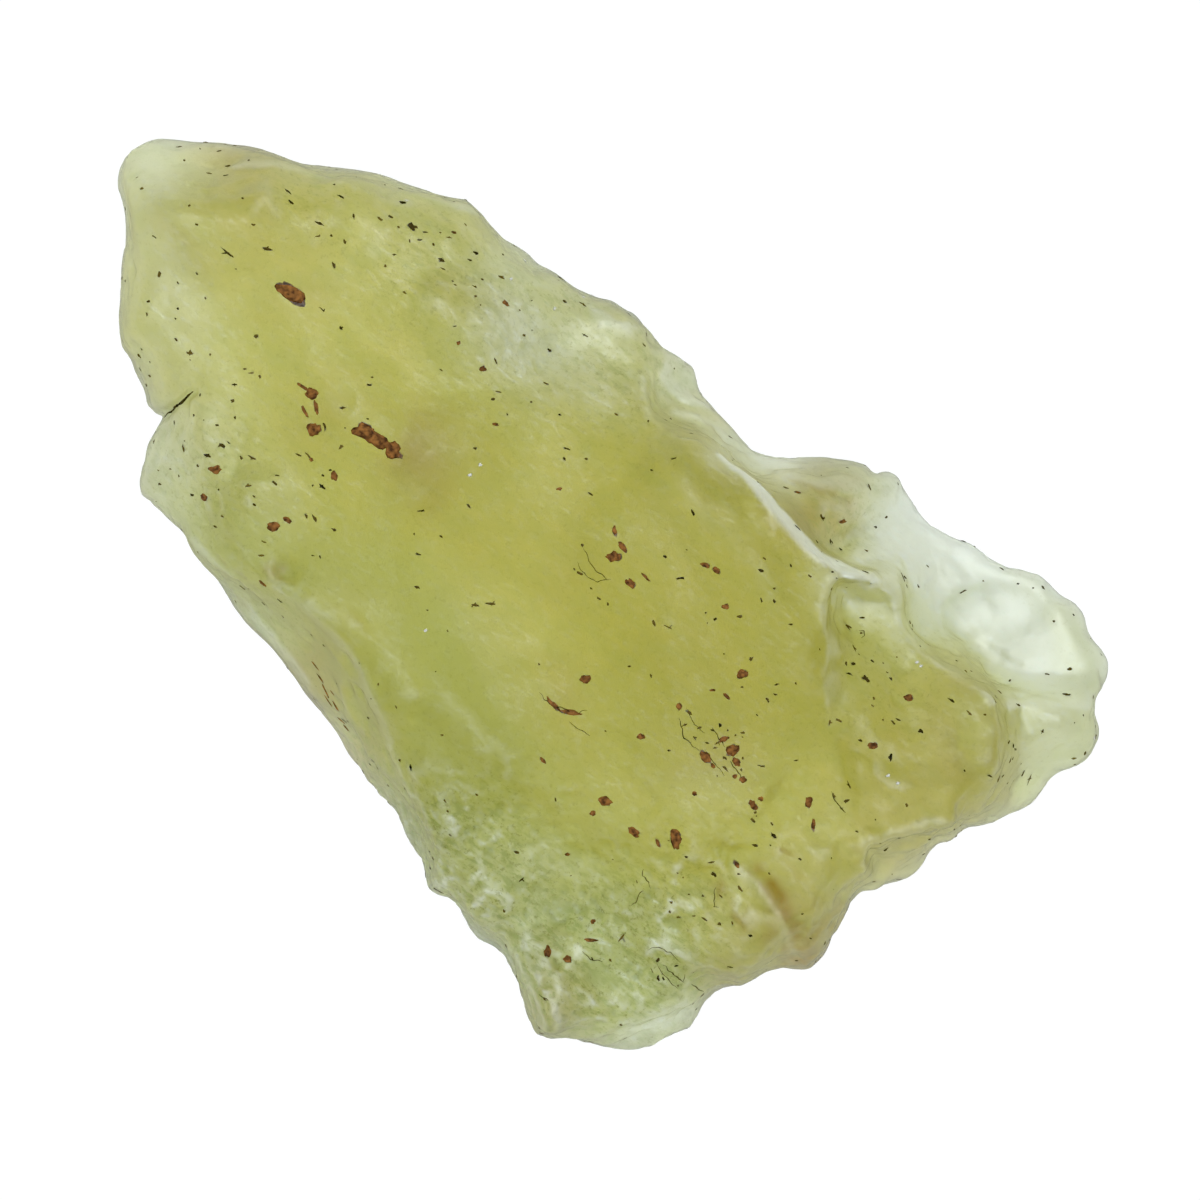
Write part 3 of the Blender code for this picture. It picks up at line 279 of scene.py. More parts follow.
# Dark grains at the surface: u, v, length, width, heading in degrees
GRAINS = (
    (-16.75, 18.05, 0.36, 0.08, 0), (-14.75, 17.2, 0.28, 0.12, -20), (-18.1, 16.25, 0.24, 0.16, -40),
    (-7.8, 15.7, 0.32, 0.2, 0), (-7.4, 14.7, 0.44, 0.32, -55), (-11.1, 14.3, 0.24, 0.08, 0),
    (-10.05, 14.1, 0.24, 0.12, -60), (-8.1, 13.6, 0.2, 0.08, 0), (-14.65, 13.65, 0.6, 0.11, -42),
    (-13.1, 13.8, 0.5, 0.14, -13), (-17.4, 12.85, 0.3, 0.2, 60), (-17.85, 11.8, 0.2, 0.12, 0),
    (-10.2, 10.7, 0.2, 0.12, -50), (-13.55, 10.4, 0.24, 0.16, 0), (-18.3, 9.7, 0.24, 0.12, -55),
    (-16.2, 9.75, 0.34, 0.14, 0), (-16.2, 9.75, 0.3, 0.12, 80), (-13.75, 8.95, 0.32, 0.08, 0),
    (-14.4, 8.5, 0.24, 0.08, 0), (-8.95, 8.75, 0.16, 0.08, 0), (-10.15, 6.0, 0.24, 0.12, 40),
    (-15.1, 6.9, 0.2, 0.1, 0), (-14.9, 6.1, 0.4, 0.16, -35), (-15.5, 5.7, 0.4, 0.15, -15),
    (-13.7, 5.6, 0.4, 0.12, -25), (-17.5, 4.6, 0.2, 0.1, 0), (-13.85, 4.5, 0.36, 0.1, 0),
    (-14.9, 3.3, 0.2, 0.12, 0), (-10.6, 5.1, 0.16, 0.08, 0), (-10.9, 4.45, 0.36, 0.12, -35),
    (-10.9, -1.8, 0.24, 0.06, 0), (-8.7, -3.3, 0.16, 0.08, 60), (-6.2, -5.3, 0.16, 0.08, 0),
    (-5.95, 14.3, 0.24, 0.08, 0), (-4.9, 13.7, 0.28, 0.14, 0), (-6.25, 13.4, 0.32, 0.16, -20),
    (-5.7, 12.4, 0.2, 0.07, 0), (-3.9, 12.75, 0.28, 0.16, -25), (-4.9, 11.95, 0.16, 0.12, 0),
    (-1.4, 11.85, 0.28, 0.14, 0), (-3.0, 10.45, 0.18, 0.12, 0), (-0.6, 10.5, 0.34, 0.06, -30),
    (-2.0, 9.9, 0.28, 0.18, 0), (-4.2, 7.9, 0.2, 0.14, 0), (-1.6, 7.3, 0.18, 0.1, 0),
    (-4.9, 5.95, 0.2, 0.1, 0), (-1.3, 5.95, 0.36, 0.08, -25), (2.55, 1.7, 0.16, 0.12, 0),
    (4.5, -0.75, 0.2, 0.12, 35), (5.45, -0.65, 0.28, 0.11, 0), (6.8, -0.05, 0.2, 0.12, -50),
    (5.9, -2.3, 0.2, 0.12, 40), (2.65, -1.05, 0.44, 0.06, -25), (1.15, -2.6, 0.18, 0.08, 0),
    (8.75, 3.25, 0.36, 0.15, -40), (9.5, 2.0, 0.32, 0.08, 90), (10.55, 1.95, 0.2, 0.1, -55),
    (10.45, 1.1, 0.32, 0.12, -35), (9.1, 2.3, 0.38, 0.1, 85), (10.95, 2.9, 0.24, 0.08, 0),
    (11.4, 3.3, 0.16, 0.12, 0), (10.7, 4.5, 0.38, 0.12, 75), (12.0, 0.9, 0.48, 0.12, -67),
    (9.75, -1.05, 0.62, 0.11, -42), (10.0, -1.9, 0.32, 0.08, 88), (9.95, -2.5, 0.24, 0.15, 0),
    (10.45, -3.1, 0.4, 0.22, -55), (11.45, -3.1, 0.2, 0.12, 0), (12.6, -5.15, 0.28, 0.15, -55),
    (11.4, -6.15, 0.34, 0.16, 85), (9.0, -4.8, 0.32, 0.1, 88), (9.8, -7.3, 0.36, 0.1, 88),
    (15.1, -4.5, 0.16, 0.1, 0), (16.3, -3.2, 0.16, 0.11, 90), (17.8, -2.95, 0.32, 0.08, -25),
    (18.7, -2.75, 0.2, 0.16, 0), (18.5, -3.75, 0.4, 0.18, -40), (17.5, -5.2, 0.32, 0.08, 88),
    (15.3, -6.9, 0.32, 0.11, -65), (15.7, -7.05, 0.36, 0.18, 80), (17.1, -7.1, 0.54, 0.09, 88),
    (9.2, -7.7, 0.3, 0.07, -70), (9.5, -8.2, 0.26, 0.07, -50), (9.7, -7.9, 0.28, 0.14, 30),
    (12.05, -8.05, 0.16, 0.09, 90), (11.3, -9.85, 0.24, 0.16, 40), (2.7, -5.9, 0.16, 0.1, 0),
    (6.1, -8.35, 0.16, 0.1, 0), (3.4, -10.1, 0.16, 0.1, 0), (4.5, -10.8, 0.32, 0.12, -55),
    (3.1, -12.5, 0.24, 0.08, 0), (3.7, -12.45, 0.2, 0.06, 0), (0.85, -13.35, 0.6, 0.11, 50),
    (-3.1, -11.05, 0.3, 0.08, 50), (-2.2, -15.75, 0.26, 0.07, 0), (2.3, -14.2, 0.24, 0.14, 60),
    (4.4, -5.1, 0.22, 0.08, -25), (4.6, -5.6, 0.3, 0.09, 30), (4.9, -6.2, 0.26, 0.09, -40),
    (5.6, -5.2, 0.2, 0.1, 0), (3.7, -5.4, 0.24, 0.08, -60), (3.3, -4.9, 0.2, 0.08, 30),
    (-4.3, -0.15, 0.5, 0.1, 0), (-4.9, -0.2, 0.44, 0.1, -8), (-7.0, 3.5, 0.3, 0.08, -5),
)

# Round dark specks at the surface: u, v
SPECKS = (
    (-15.9, 17.95), (-16.5, 17.45), (-13.9, 17.4), (-14.8, 16.8), (-15.5, 16.9), (-16.15, 15.5),
    (-15.85, 14.75), (-13.6, 14.75), (-14.05, 15.8), (-12.3, 16.1), (-12.15, 15.65), (-10.5, 16.4),
    (-9.7, 15.1), (-8.65, 15.0), (-8.25, 15.1), (-7.95, 14.7), (-6.9, 14.5), (-7.5, 14.15), (-7.1, 14.2),
    (-6.55, 14.0), (-10.5, 13.2), (-8.45, 13.15), (-16.65, 12.5), (-17.9, 11.3), (-16.65, 11.5),
    (-16.75, 11.1), (-16.75, 10.3), (-15.55, 11.9), (-7.7, 12.1), (-17.9, 8.9), (-14.0, 9.1), (-13.4, 8.8),
    (-14.5, 7.85), (-14.4, 7.2), (-15.8, 8.1), (-10.1, 7.55), (-9.1, 7.1), (-10.0, 6.75), (-10.8, 6.8),
    (-16.9, 7.05), (-16.05, 7.3), (-15.65, 7.1), (-17.75, 6.3), (-16.45, 6.3), (-16.5, 6.0), (-14.65, 6.2),
    (-14.15, 5.6), (-15.9, 5.3), (-17.05, 5.2), (-17.55, 5.15), (-16.7, 4.9), (-15.05, 4.35), (-16.15, 4.15),
    (-13.6, 3.75), (-15.2, 2.9), (-12.7, 4.9), (-12.8, 4.6), (-11.85, 5.7), (-11.5, 5.7), (-10.9, 4.9),
    (-11.3, 4.5), (-11.55, 3.3), (-11.2, 3.2), (-10.45, 2.75), (-13.25, 2.3), (-13.35, 1.75), (-11.3, 1.75),
    (-11.0, 1.7), (-7.3, 2.6), (-6.25, 2.5), (-7.15, 1.8), (-7.2, 0.5), (-6.8, -0.4), (-8.0, -4.2),
    (-6.3, 14.5), (-3.85, 13.7), (-6.2, 13.05), (-5.8, 12.55), (-4.65, 12.65), (-4.7, 11.6), (-2.7, 11.85),
    (-0.75, 11.8), (-5.7, 10.75), (-6.25, 9.05), (-4.1, 9.4), (-2.15, 8.55), (-4.0, 8.2), (-2.7, 7.8),
    (-3.65, 7.3), (1.9, 7.05), (-1.4, 5.55), (-0.55, 5.55), (2.9, 5.55), (-0.7, 2.15), (-0.8, 1.05),
    (-0.35, 0.45), (-0.05, 0.05), (0.3, -0.15), (3.15, 0.85), (4.2, -0.9), (6.3, 0.0), (6.8, 0.45),
    (6.3, 1.15), (7.45, 1.35), (7.45, -0.95), (4.85, -2.1), (2.1, -0.9), (5.55, -3.4), (6.9, -3.3),
    (6.85, -3.7), (6.55, -3.9), (7.65, -3.25), (6.15, -4.5), (9.1, 1.1), (9.25, 0.85), (9.7, 0.5),
    (12.65, 0.55), (12.15, 0.55), (13.05, 1.35), (14.5, 0.35), (16.05, 1.25), (16.7, 0.65), (17.7, 0.5),
    (18.1, -0.85), (18.9, -0.6), (10.35, -0.7), (10.3, -1.3), (9.65, -2.5), (10.7, -2.4), (9.8, -2.9),
    (11.3, -2.85), (11.7, -2.25), (10.75, -3.85), (10.7, -4.15), (11.1, -4.7), (11.5, -4.8), (11.7, -4.7),
    (10.2, -5.5), (14.5, -4.45), (16.55, -4.15), (16.1, -5.6), (16.3, -5.75), (18.85, -6.3), (18.9, -6.55),
    (19.3, -6.1), (14.3, -6.7), (15.9, -6.95), (16.15, -7.25), (16.7, -6.5), (16.8, -6.9), (9.1, -10.15),
    (10.1, -9.1), (14.3, -8.95), (14.05, -9.1), (10.85, -11.2), (7.7, -6.3), (4.5, -5.8), (5.55, -6.65),
    (6.0, -8.65), (6.75, -8.8), (6.8, -9.25), (6.7, -9.65), (6.1, -9.65), (3.05, -10.75), (4.75, -11.65),
    (5.5, -11.35), (4.05, -11.65), (3.5, -11.6), (2.8, -11.9), (2.75, -12.3), (4.1, -12.55), (4.7, -12.75),
    (5.2, -12.7), (5.9, -13.2), (7.95, -12.35), (6.65, -10.75), (7.8, -14.3), (8.9, -13.6), (3.0, -14.45),
    (2.3, -14.95), (2.5, -14.95), (-3.8, -12.3), (-7.45, -6.6), (-4.85, -7.65), (-6.0, -8.3), (-6.1, -7.9),
    (-5.9, -9.25), (-3.3, -9.95), (-1.75, -7.85), (-1.15, -10.9), (0.4, -14.25), (4.7, -4.9), (5.0, -5.1),
    (5.3, -5.3), (4.2, -5.6), (4.9, -6.6), (5.6, -6.2), (3.9, -5.0), (3.5, -4.4), (4.6, -6.9),
)

# Thin dark curls and cracks: width, then the points of the line
CURLS = (
    (0.05, ((1.7, -10.6), (1.65, -10.85), (1.75, -10.95), (1.95, -11.15), (2.0, -11.4))),
    (0.05, ((1.25, -12.1), (1.4, -11.95), (1.5, -11.7), (1.7, -11.45))),
    (0.05, ((4.55, -11.3), (4.5, -11.4), (4.5, -11.7), (4.5, -11.9), (4.45, -12.1), (4.7, -12.1))),
    (0.06, ((2.5, -14.4), (2.7, -14.6), (2.9, -14.8), (3.1, -15.0), (3.3, -15.05), (3.35, -14.8))),
    (0.05, ((3.6, -15.25), (3.85, -15.4), (4.1, -15.55))),
    (0.05, ((2.0, -14.55), (2.1, -14.7))),
    (0.06, ((-11.1, 11.5), (-10.9, 11.4), (-10.8, 11.5))),
    (0.14, ((-17.35, 7.3), (-16.9, 7.65), (-16.45, 7.95), (-16.1, 8.25))),
    (0.05, ((-0.7, 2.2), (-0.45, 1.6), (-0.2, 1.2), (0.1, 1.0), (0.25, 0.75))),
    (0.05, ((9.1, -7.5), (9.25, -7.85), (9.5, -8.25), (9.65, -8.35))),
    (0.05, ((10.2, -1.2), (10.4, -1.25), (10.45, -1.4), (10.3, -1.5))),
    (0.05, ((-2.4, -15.6), (-2.2, -15.7), (-2.0, -15.8))),
    (0.04, ((3.4, -4.2), (3.7, -4.9), (4.1, -5.2))),
    (0.04, ((4.1, -5.9), (4.4, -6.3), (4.9, -6.9))),
    (0.05, ((3.1, -4.6), (3.3, -5.4), (3.9, -5.9))),
    (0.05, ((4.4, -5.0), (4.9, -5.8))),
    (0.05, ((5.1, -6.3), (5.3, -6.6), (5.7, -7.1))),
    (0.05, ((-2.4, -3.6), (-2.0, -4.1), (-1.5, -4.2), (-1.0, -4.5), (-0.5, -4.3))),
    (0.04, ((-1.2, -4.8), (-0.8, -5.1), (-0.4, -5.3))),
    (0.04, ((-0.9, 1.5), (-0.6, 1.0), (-0.1, 0.7), (0.4, 0.8))),
    (0.04, ((1.9, -13.8), (2.3, -13.7), (2.8, -13.9), (3.2, -14.3))),
    (0.04, ((2.2, -14.3), (2.6, -14.9), (3.1, -15.4))),
    (0.05, ((-0.7, -13.9), (-0.4, -14.2), (0.1, -14.3))),
)

# Painted glints, as small white lumps: u, v
GLINTS = (
    (-7.65, 15.8), (-6.85, -1.2), (-0.3, 12.15), (-0.65, 12.05), (-3.0, 13.5), (-3.5, 12.7), (-1.8, 11.55),
    (12.5, -2.45), (12.65, -2.6), (11.3, -6.9), (11.7, -7.2), (19.65, -5.5), (-4.7, 5.3), (-5.1, 4.9),
)

# Patches of the glass that are whiter, browner, greener or mottled: u, v, radius, strength. The whiter ones
# are partly a painted glow where the glass is thin; the browner ones are partly brown stain and partly
# painted shade in the recess, along the groove, by the terrace and at rims.
PALE_PATCHES = (
    (-17.8, 17.0, 1.6, 0.6), (-17.0, 15.0, 1.8, 0.25), (-17.0, 5.4, 2.2, 0.6), (-16.8, 10.6, 2.4, 0.45),
    (-14.6, 7.6, 2.2, 0.25), (-8.0, 15.6, 1.8, 0.3), (-4.0, 13.2, 2.0, 0.45), (0.0, 10.4, 2.2, 0.15),
    (-2.0, 9.4, 2.6, 0.5), (-3.8, 10.4, 2.0, 0.45), (2.4, 8.0, 1.6, 0.3), (0.0, 8.0, 1.4, 0.25),
    (4.8, 5.9, 1.2, 0.65), (-17.0, 13.0, 1.8, 0.35), (7.2, 5.6, 1.5, 1.0), (11.8, 3.2, 2.2, 0.9),
    (14.4, 0.8, 2.6, 1.2), (9.8, 0.4, 1.6, 0.85), (12.4, -1.4, 1.2, 0.35), (16.8, -1.4, 1.6, 0.6),
    (17.6, -3.2, 2.5, 0.75), (18.4, -5.6, 2.0, 0.3), (-10.0, -8.0, 2.2, 0.2), (-6.8, -12.0, 2.4, 0.2),
    (1.2, -17.2, 0.7, 0.7), (2.2, -16.8, 0.7, 0.75), (3.3, -16.3, 0.8, 0.8), (2.0, -6.0, 2.6, 0.15),
    (-12.6, 3.6, 2.2, 0.25), (-2.2, -11.2, 2.0, 0.45), (5.0, -7.0, 2.8, 0.25), (16.8, -6.4, 1.4, 0.25),
    (-7.2, 13.2, 1.8, 0.2),
)
BROWN_AND_SHADE_PATCHES = (
    (-14.5, 14.5, 3.0, 0.06), (10.5, -4.5, 3.5, 0.08), (14.4, -4.0, 2.0, 0.08), (12.0, -8.8, 2.4, 0.15),
    (14.4, -6.2, 1.1, 0.22), (7.6, -13.6, 2.2, 0.3), (8.2, 3.3, 1.1, 0.65), (9.2, 2.2, 0.7, 0.3),
    (-14.2, 17.3, 1.6, 0.3), (-9.6, -6.8, 1.2, 0.25), (-2.6, -16.3, 1.5, 0.3), (4.8, -15.9, 1.3, 0.55),
    (-7.2, 5.7, 1.0, 0.42), (-10.8, -3.6, 0.9, 0.45), (-11.3, -2.2, 0.8, 0.4), (-9.6, -5.6, 1.0, 0.3),
    (6.2, -10.6, 0.3, 0.7), (6.7, -11.2, 0.35, 0.9), (7.05, -11.7, 0.4, 0.9), (7.35, -12.3, 0.35, 0.6),
    (7.7, -13.1, 0.35, 0.4), (8.0, -14.2, 0.5, 0.6), (-0.4, 1.2, 0.9, 0.12), (-1.4, -4.0, 0.8, 0.14),
    (4.6, -5.8, 1.1, 0.25), (-12.7, 1.15, 0.4, 0.8), (-10.7, 7.2, 0.9, 0.15), (-11.5, 11.9, 0.9, 0.12),
)
GREEN_PATCHES = (
    (-3.6, 12.0, 2.2, 0.15), (-1.6, 9.6, 2.2, 0.15), (-5.6, 6.8, 2.2, 0.3), (-8.8, 1.6, 2.2, 0.6),
    (-7.2, -2.0, 2.4, 1.0), (-5.2, -5.6, 2.6, 1.0), (-2.4, -9.2, 2.6, 0.7), (0.4, -12.0, 2.8, 0.8),
    (-6.0, -9.6, 2.4, 1.0), (-2.0, -14.5, 3.2, 1.0), (3.0, -15.0, 3.0, 0.8), (1.6, -4.0, 2.0, 0.3),
    (10.5, -2.0, 2.6, 0.5), (13.0, 1.0, 3.0, 0.3), (17.5, -4.5, 3.0, 0.8), (-15.0, 4.5, 2.4, 0.3),
    (-14.0, 1.2, 2.4, 0.8), (-12.0, 0.4, 2.0, 0.6), (-16.8, 3.0, 1.6, 0.6),
)
MOTTLED_PATCHES = (
    (-10.5, -6.5, 2.0, 0.8), (-8.5, -9.5, 2.4, 1.0), (-6.0, -12.0, 2.8, 1.0), (-2.8, -13.8, 3.2, 1.0),
    (1.0, -14.8, 3.2, 0.9), (-4.6, -9.0, 2.4, 0.6), (3.0, -12.2, 2.6, 0.6), (-2.5, 10.8, 3.2, 0.6),
    (1.5, 8.8, 2.4, 0.5), (-7.0, 13.5, 2.5, 0.45), (-16.0, 5.0, 3.0, 0.5), (-13.0, -0.5, 2.0, 0.5),
    (-11.5, 16.5, 2.0, 0.4), (12.0, 3.5, 2.0, 0.3), (11.5, -3.0, 3.0, 0.3), (9.5, 3.0, 1.8, 0.5),
)


def drawing_matrix():
    """The matrix from the drawing, in millimetres, to the row's axes, in metres."""
    turn = Matrix.Rotation(DRAWING_TURN, 4, "Z") @ Matrix.Scale(MM, 4)
    rest = Vector(frame["record"]["mounts"][0]["pos_m"])
    offset = rest - turn @ Vector((*REST_POINT, 0.0))
    return Matrix.Translation(offset) @ turn


def rows_of(items, name, count, kind):
    """That many numbers for each item of a mesh, as rows of an array."""
    values = np.empty(len(items) * count, kind)
    items.foreach_get(name, values)
    return values.reshape(-1, count)


def coordinates(mesh):
    """A mesh's points as rows of an array."""
    return rows_of(mesh.vertices, "co", 3, np.float32).astype(float)


def vertex_normals(mesh):
    """A mesh's vertex normals as rows of an array."""
    return rows_of(mesh.vertex_normals, "vector", 3, np.float32).astype(float)


def put_coordinates(mesh, points):
    """Moves a mesh's points."""
    mesh.vertices.foreach_set("co", points.astype(np.float32).ravel())
    mesh.update()


def edge_ends(mesh):
    """The two point numbers of each edge."""
    return rows_of(mesh.edges, "vertices", 2, np.int32)


def neighbour_mean(values, ends):
    """For each point, the mean of the values at the points that it shares an edge with."""
    total = np.zeros_like(values)
    count = np.bincount(ends.ravel(), minlength=len(values)).astype(float)
    for column in range(values.shape[1]):
        for here, there in ((0, 1), (1, 0)):
            total[:, column] += np.bincount(ends[:, here], values[ends[:, there], column], len(values))
    return total / count[:, None]


def store(mesh, name, values):
    """Keeps one number for each point, for the material to read."""
    attribute = mesh.attributes.new(name, "FLOAT", "POINT")
    attribute.data.foreach_set("value", values.astype(np.float32))


def apply_modifiers(piece):
    """Gives the piece the mesh that its modifiers make, and takes them off."""
    bpy.context.view_layer.update()
    evaluated = piece.evaluated_get(bpy.context.evaluated_depsgraph_get())
    mesh = bpy.data.meshes.new_from_object(evaluated)
    piece.modifiers.clear()
    piece.data = mesh


def new_piece(name, mesh):
    """Links a new object that holds the mesh."""
    piece = bpy.data.objects.new(name, mesh)
    bpy.context.scene.collection.objects.link(piece)
    return piece


def thin_out_underside(stone):
    """Keeps the fine mesh on the upper side and merges most faces of the underside."""
    low = np.flatnonzero(vertex_normals(stone.data)[:, 2] < -0.25)
    group = stone.vertex_groups.new(name="underside")
    group.add(low.tolist(), 1.0, "REPLACE")
    share = len(low) / len(stone.data.vertices)
    thin = stone.modifiers.new("thin", "DECIMATE")
    thin.vertex_group = group.name
    thin.ratio = 1.0 - share * (1.0 - UNDERSIDE_SHARE)
    apply_modifiers(stone)
    stone.vertex_groups.clear()


def worn_stone():
    """The CAD stone in drawing millimetres, its facets remeshed finely and worn smooth."""
    mesh = frame["nodes"][NODE].data.copy()
    mesh.materials.clear()
    mesh.transform(drawing_matrix().inverted())
    stone = new_piece("desert_glass_body", mesh)
    weld = stone.modifiers.new("weld", "WELD")
    weld.merge_threshold = WELD_DISTANCE
    remesh = stone.modifiers.new("remesh", "REMESH")
    remesh.mode = "VOXEL"
    remesh.voxel_size = VOXEL
    apply_modifiers(stone)
    thin_out_underside(stone)
    points = coordinates(stone.data)
    ends = edge_ends(stone.data)
    for _ in range(SMOOTHING_ROUNDS):
        points += 0.5 * (neighbour_mean(points, ends) - points)
    put_coordinates(stone.data, points)
    return stone


def ramp(values, start, width):
    """0 up to the start, then rising evenly to 1 over the width."""
    return np.clip((values - start) / width, 0.0, 1.0)


def along_line(points, line, levels):
    """Each point's distance from a line, that distance signed to the left, and the line's level beside it."""
    best = np.full(len(points), 1e9)
    side = np.zeros(len(points))
    level = np.zeros(len(points))
    for start, end, low, high in zip(line, line[1:], levels, levels[1:]):
        a = np.array(start)
        step = np.array(end) - a
        offset = points[:, :2] - a
        share = np.clip((offset @ step) / (step @ step), 0.0, 1.0)
        away = offset - share[:, None] * step
        distance = np.hypot(away[:, 0], away[:, 1])
        nearer = distance < best
        best[nearer] = distance[nearer]
        left = step[0] * offset[:, 1] - step[1] * offset[:, 0]
        side[nearer] = np.sign(left[nearer])
        level[nearer] = low + share[nearer] * (high - low)
    return best, best * side, level


def surface_under(tree, u, v):
    """The point and normal of the stone's top straight below a place, or None beside the stone."""
    point, normal, _, _ = tree.ray_cast(Vector((u, v, 50.0)), Vector((0.0, 0.0, -1.0)))
    return None if point is None else (point, normal)


def crest_levels(tree, line):
    """The height of the stone's top at each point of a line on the drawing."""
    levels = []
    for u, v in line:
        found = surface_under(tree, u, v)
        levels.append(found[0].z if found else RIM_HEIGHT)
    return levels


def near_crest(points, level, reach):
    """1 down to the reach below a line's level, then fading out."""
    below = np.maximum(level - points[:, 2] - reach, 0.0)
    return np.exp(-(below / reach) ** 2)


def ledge_profile(points, wander, half_width, left_fade, right_fade, line, levels):
    """1 along the line, fading slowly on its soft side and quickly on its crisp side, and below its crest."""
    distance, signed, level = along_line(points, line, levels)
    shifted = signed + LEDGE_SWAY * wander
    past = np.abs(shifted) - half_width * (1.0 + wander)
    fade = np.where(shifted > 0.0, left_fade * (1.0 + 0.6 * wander), right_fade)
    near = distance < 4.0 * max(left_fade, right_fade) + half_width
    return np.exp(-(np.maximum(past, 0.0) / fade) ** 2) * near_crest(points, level, LEDGE_REACH) * near


def soft_spots(points, spots):
    """The sum of soft round spots on the drawing, each given by u, v, radius and strength."""
    total = np.zeros(len(points))
    for u, v, radius, strength in spots:
        distance2 = ((points[:, :2] - (u, v)) ** 2).sum(axis=1)
        total += strength * np.exp(-distance2 / radius ** 2)
    return total


def patch_weight(points, patches):
    """The sum of soft round patches, at most 1."""
    return np.clip(soft_spots(points, patches), 0.0, 1.0)


def zones(points, normals):
    """How much each point belongs to each zone of wear, from 0 to 1."""
    up = np.clip(normals[:, 2], -1.0, 1.0)
    foot_v = FOOT_EDGE[0] + FOOT_EDGE[1] * points[:, 0]
    foot = 1.0 / (1.0 + np.exp((points[:, 1] - foot_v) / ZONE_FADE))
    right_end = 1.0 / (1.0 + np.exp((RIGHT_END - points[:, 0]) / ZONE_FADE))
    broken = foot + 0.12 * right_end + soft_spots(points, (LEFT_LOBE,))
    return {
        "top": ramp(up, 0.6, 0.3),
        "rim": np.clip(1.0 - np.abs(up) / 0.75, 0.0, 1.0) * (points[:, 2] > 1.5),
        "under": ramp(-up, 0.2, 0.3),
        "broken": np.clip(broken, 0.0, 1.0) * (up > -0.2),
        "any": np.ones(len(points)),
    }


def warped_place(point):
    """A point moved by noise, so that hollows cut around it come out uneven."""
    place = Vector(point)
    moved = place.copy()
    for length, shift in HOLLOW_WAVES:
        moved += noise.noise_vector(place / length) * shift
    return moved


def hollow_depths(points, normals):
    """How deep the shell-shaped hollows are at each point. Where two meet, a crisp ridge is left."""
    warped = np.array([warped_place(point) for point in points])
    tree = KDTree(len(points))
    for number, point in enumerate(warped):
        tree.insert(point, number)
    tree.balance()
    weights = zones(points, normals)
    rng = np.random.default_rng(HOLLOW_SEED)
    depth = np.zeros(len(points))
    for zone, count, least, greatest, share in HOLLOWS:
        chance = weights[zone] / weights[zone].sum()
        centres = rng.choice(len(points), count, p=chance)
        radii = least + (greatest - least) * rng.random(count) ** 2
        shares = share * rng.uniform(0.5, 1.3, count)
        layer = np.zeros(len(points))
        for centre, radius, steep in zip(centres, radii, shares):
            for _, number, distance in tree.find_range(warped[centre], radius):
                dip = steep * radius * (1.0 - (distance / radius) ** 2)
                layer[number] = max(layer[number], dip)
        depth += layer
    return depth


def noise_heights(points):
    """Low waves and fine grain of the surface, in millimetres."""
    heights = np.zeros(len(points))
    for number, point in enumerate(points):
        for length, height, roughness, step, shift in SURFACE_WAVES:
            place = Vector(point) / length + Vector(shift)
            heights[number] += height * noise.fractal(place, roughness, step, 3)
    return heights


def ledge_relief(points, slope, wander, tree):
    """The height of the ledges at each point, and how much they whiten, partly as frosting and partly as a
    painted highlight. Steep ground gets no whitening.
    """
    height = np.zeros(len(points))
    frost_and_highlight = np.zeros(len(points))
    upper = ramp(slope, 0.05, 0.3)
    level_ground = ramp(slope, 0.20, 0.3)
    for half_width, left_fade, right_fade, rise, amount, line in LEDGES:
        levels = crest_levels(tree, line)
        ridge = ledge_profile(points, wander, half_width, left_fade, right_fade, line, levels) * upper
        height += rise * ridge
        frost_and_highlight = np.maximum(frost_and_highlight, amount * ridge * level_ground)
    return height, frost_and_highlight


def cliff_band(points, slope, tree):
    """1 on the cliff's bright band, which is a painted highlight, 0 beside it, fading out below its crest."""
    line = [place[:2] for place in CLIFF]
    distance, _, half_width = along_line(points, line, [place[2] for place in CLIFF])
    level = along_line(points, line, crest_levels(tree, line))[2]
    band = np.clip(1.0 - (distance - half_width) / CLIFF_EDGE, 0.0, 1.0) * (slope > 0.0)
    return band * near_crest(points, level, CLIFF_REACH)


def groove_depths(points, slope):
    """How deep the grooves and dents are at each point."""
    depth = np.zeros(len(points))
    for half_width, deepest, line in GROOVES:
        distance = along_line(points, line, np.zeros(len(line)))[0]
        depth += deepest * np.exp(-(distance / half_width) ** 2)
    return depth * ramp(slope, 0.05, 0.3)


def spare_rest_spot(points, slope, height):
    """Keeps the spot that the stone rests on flat, but for very shallow hollows."""
    share = (points[:, :2] - REST_POINT) / REST_SPOT
    on_table = ((share ** 2).sum(axis=1) < 1.0) & (slope < -0.9)
    height[on_table] = np.minimum(height[on_table], 0.0) * 0.3


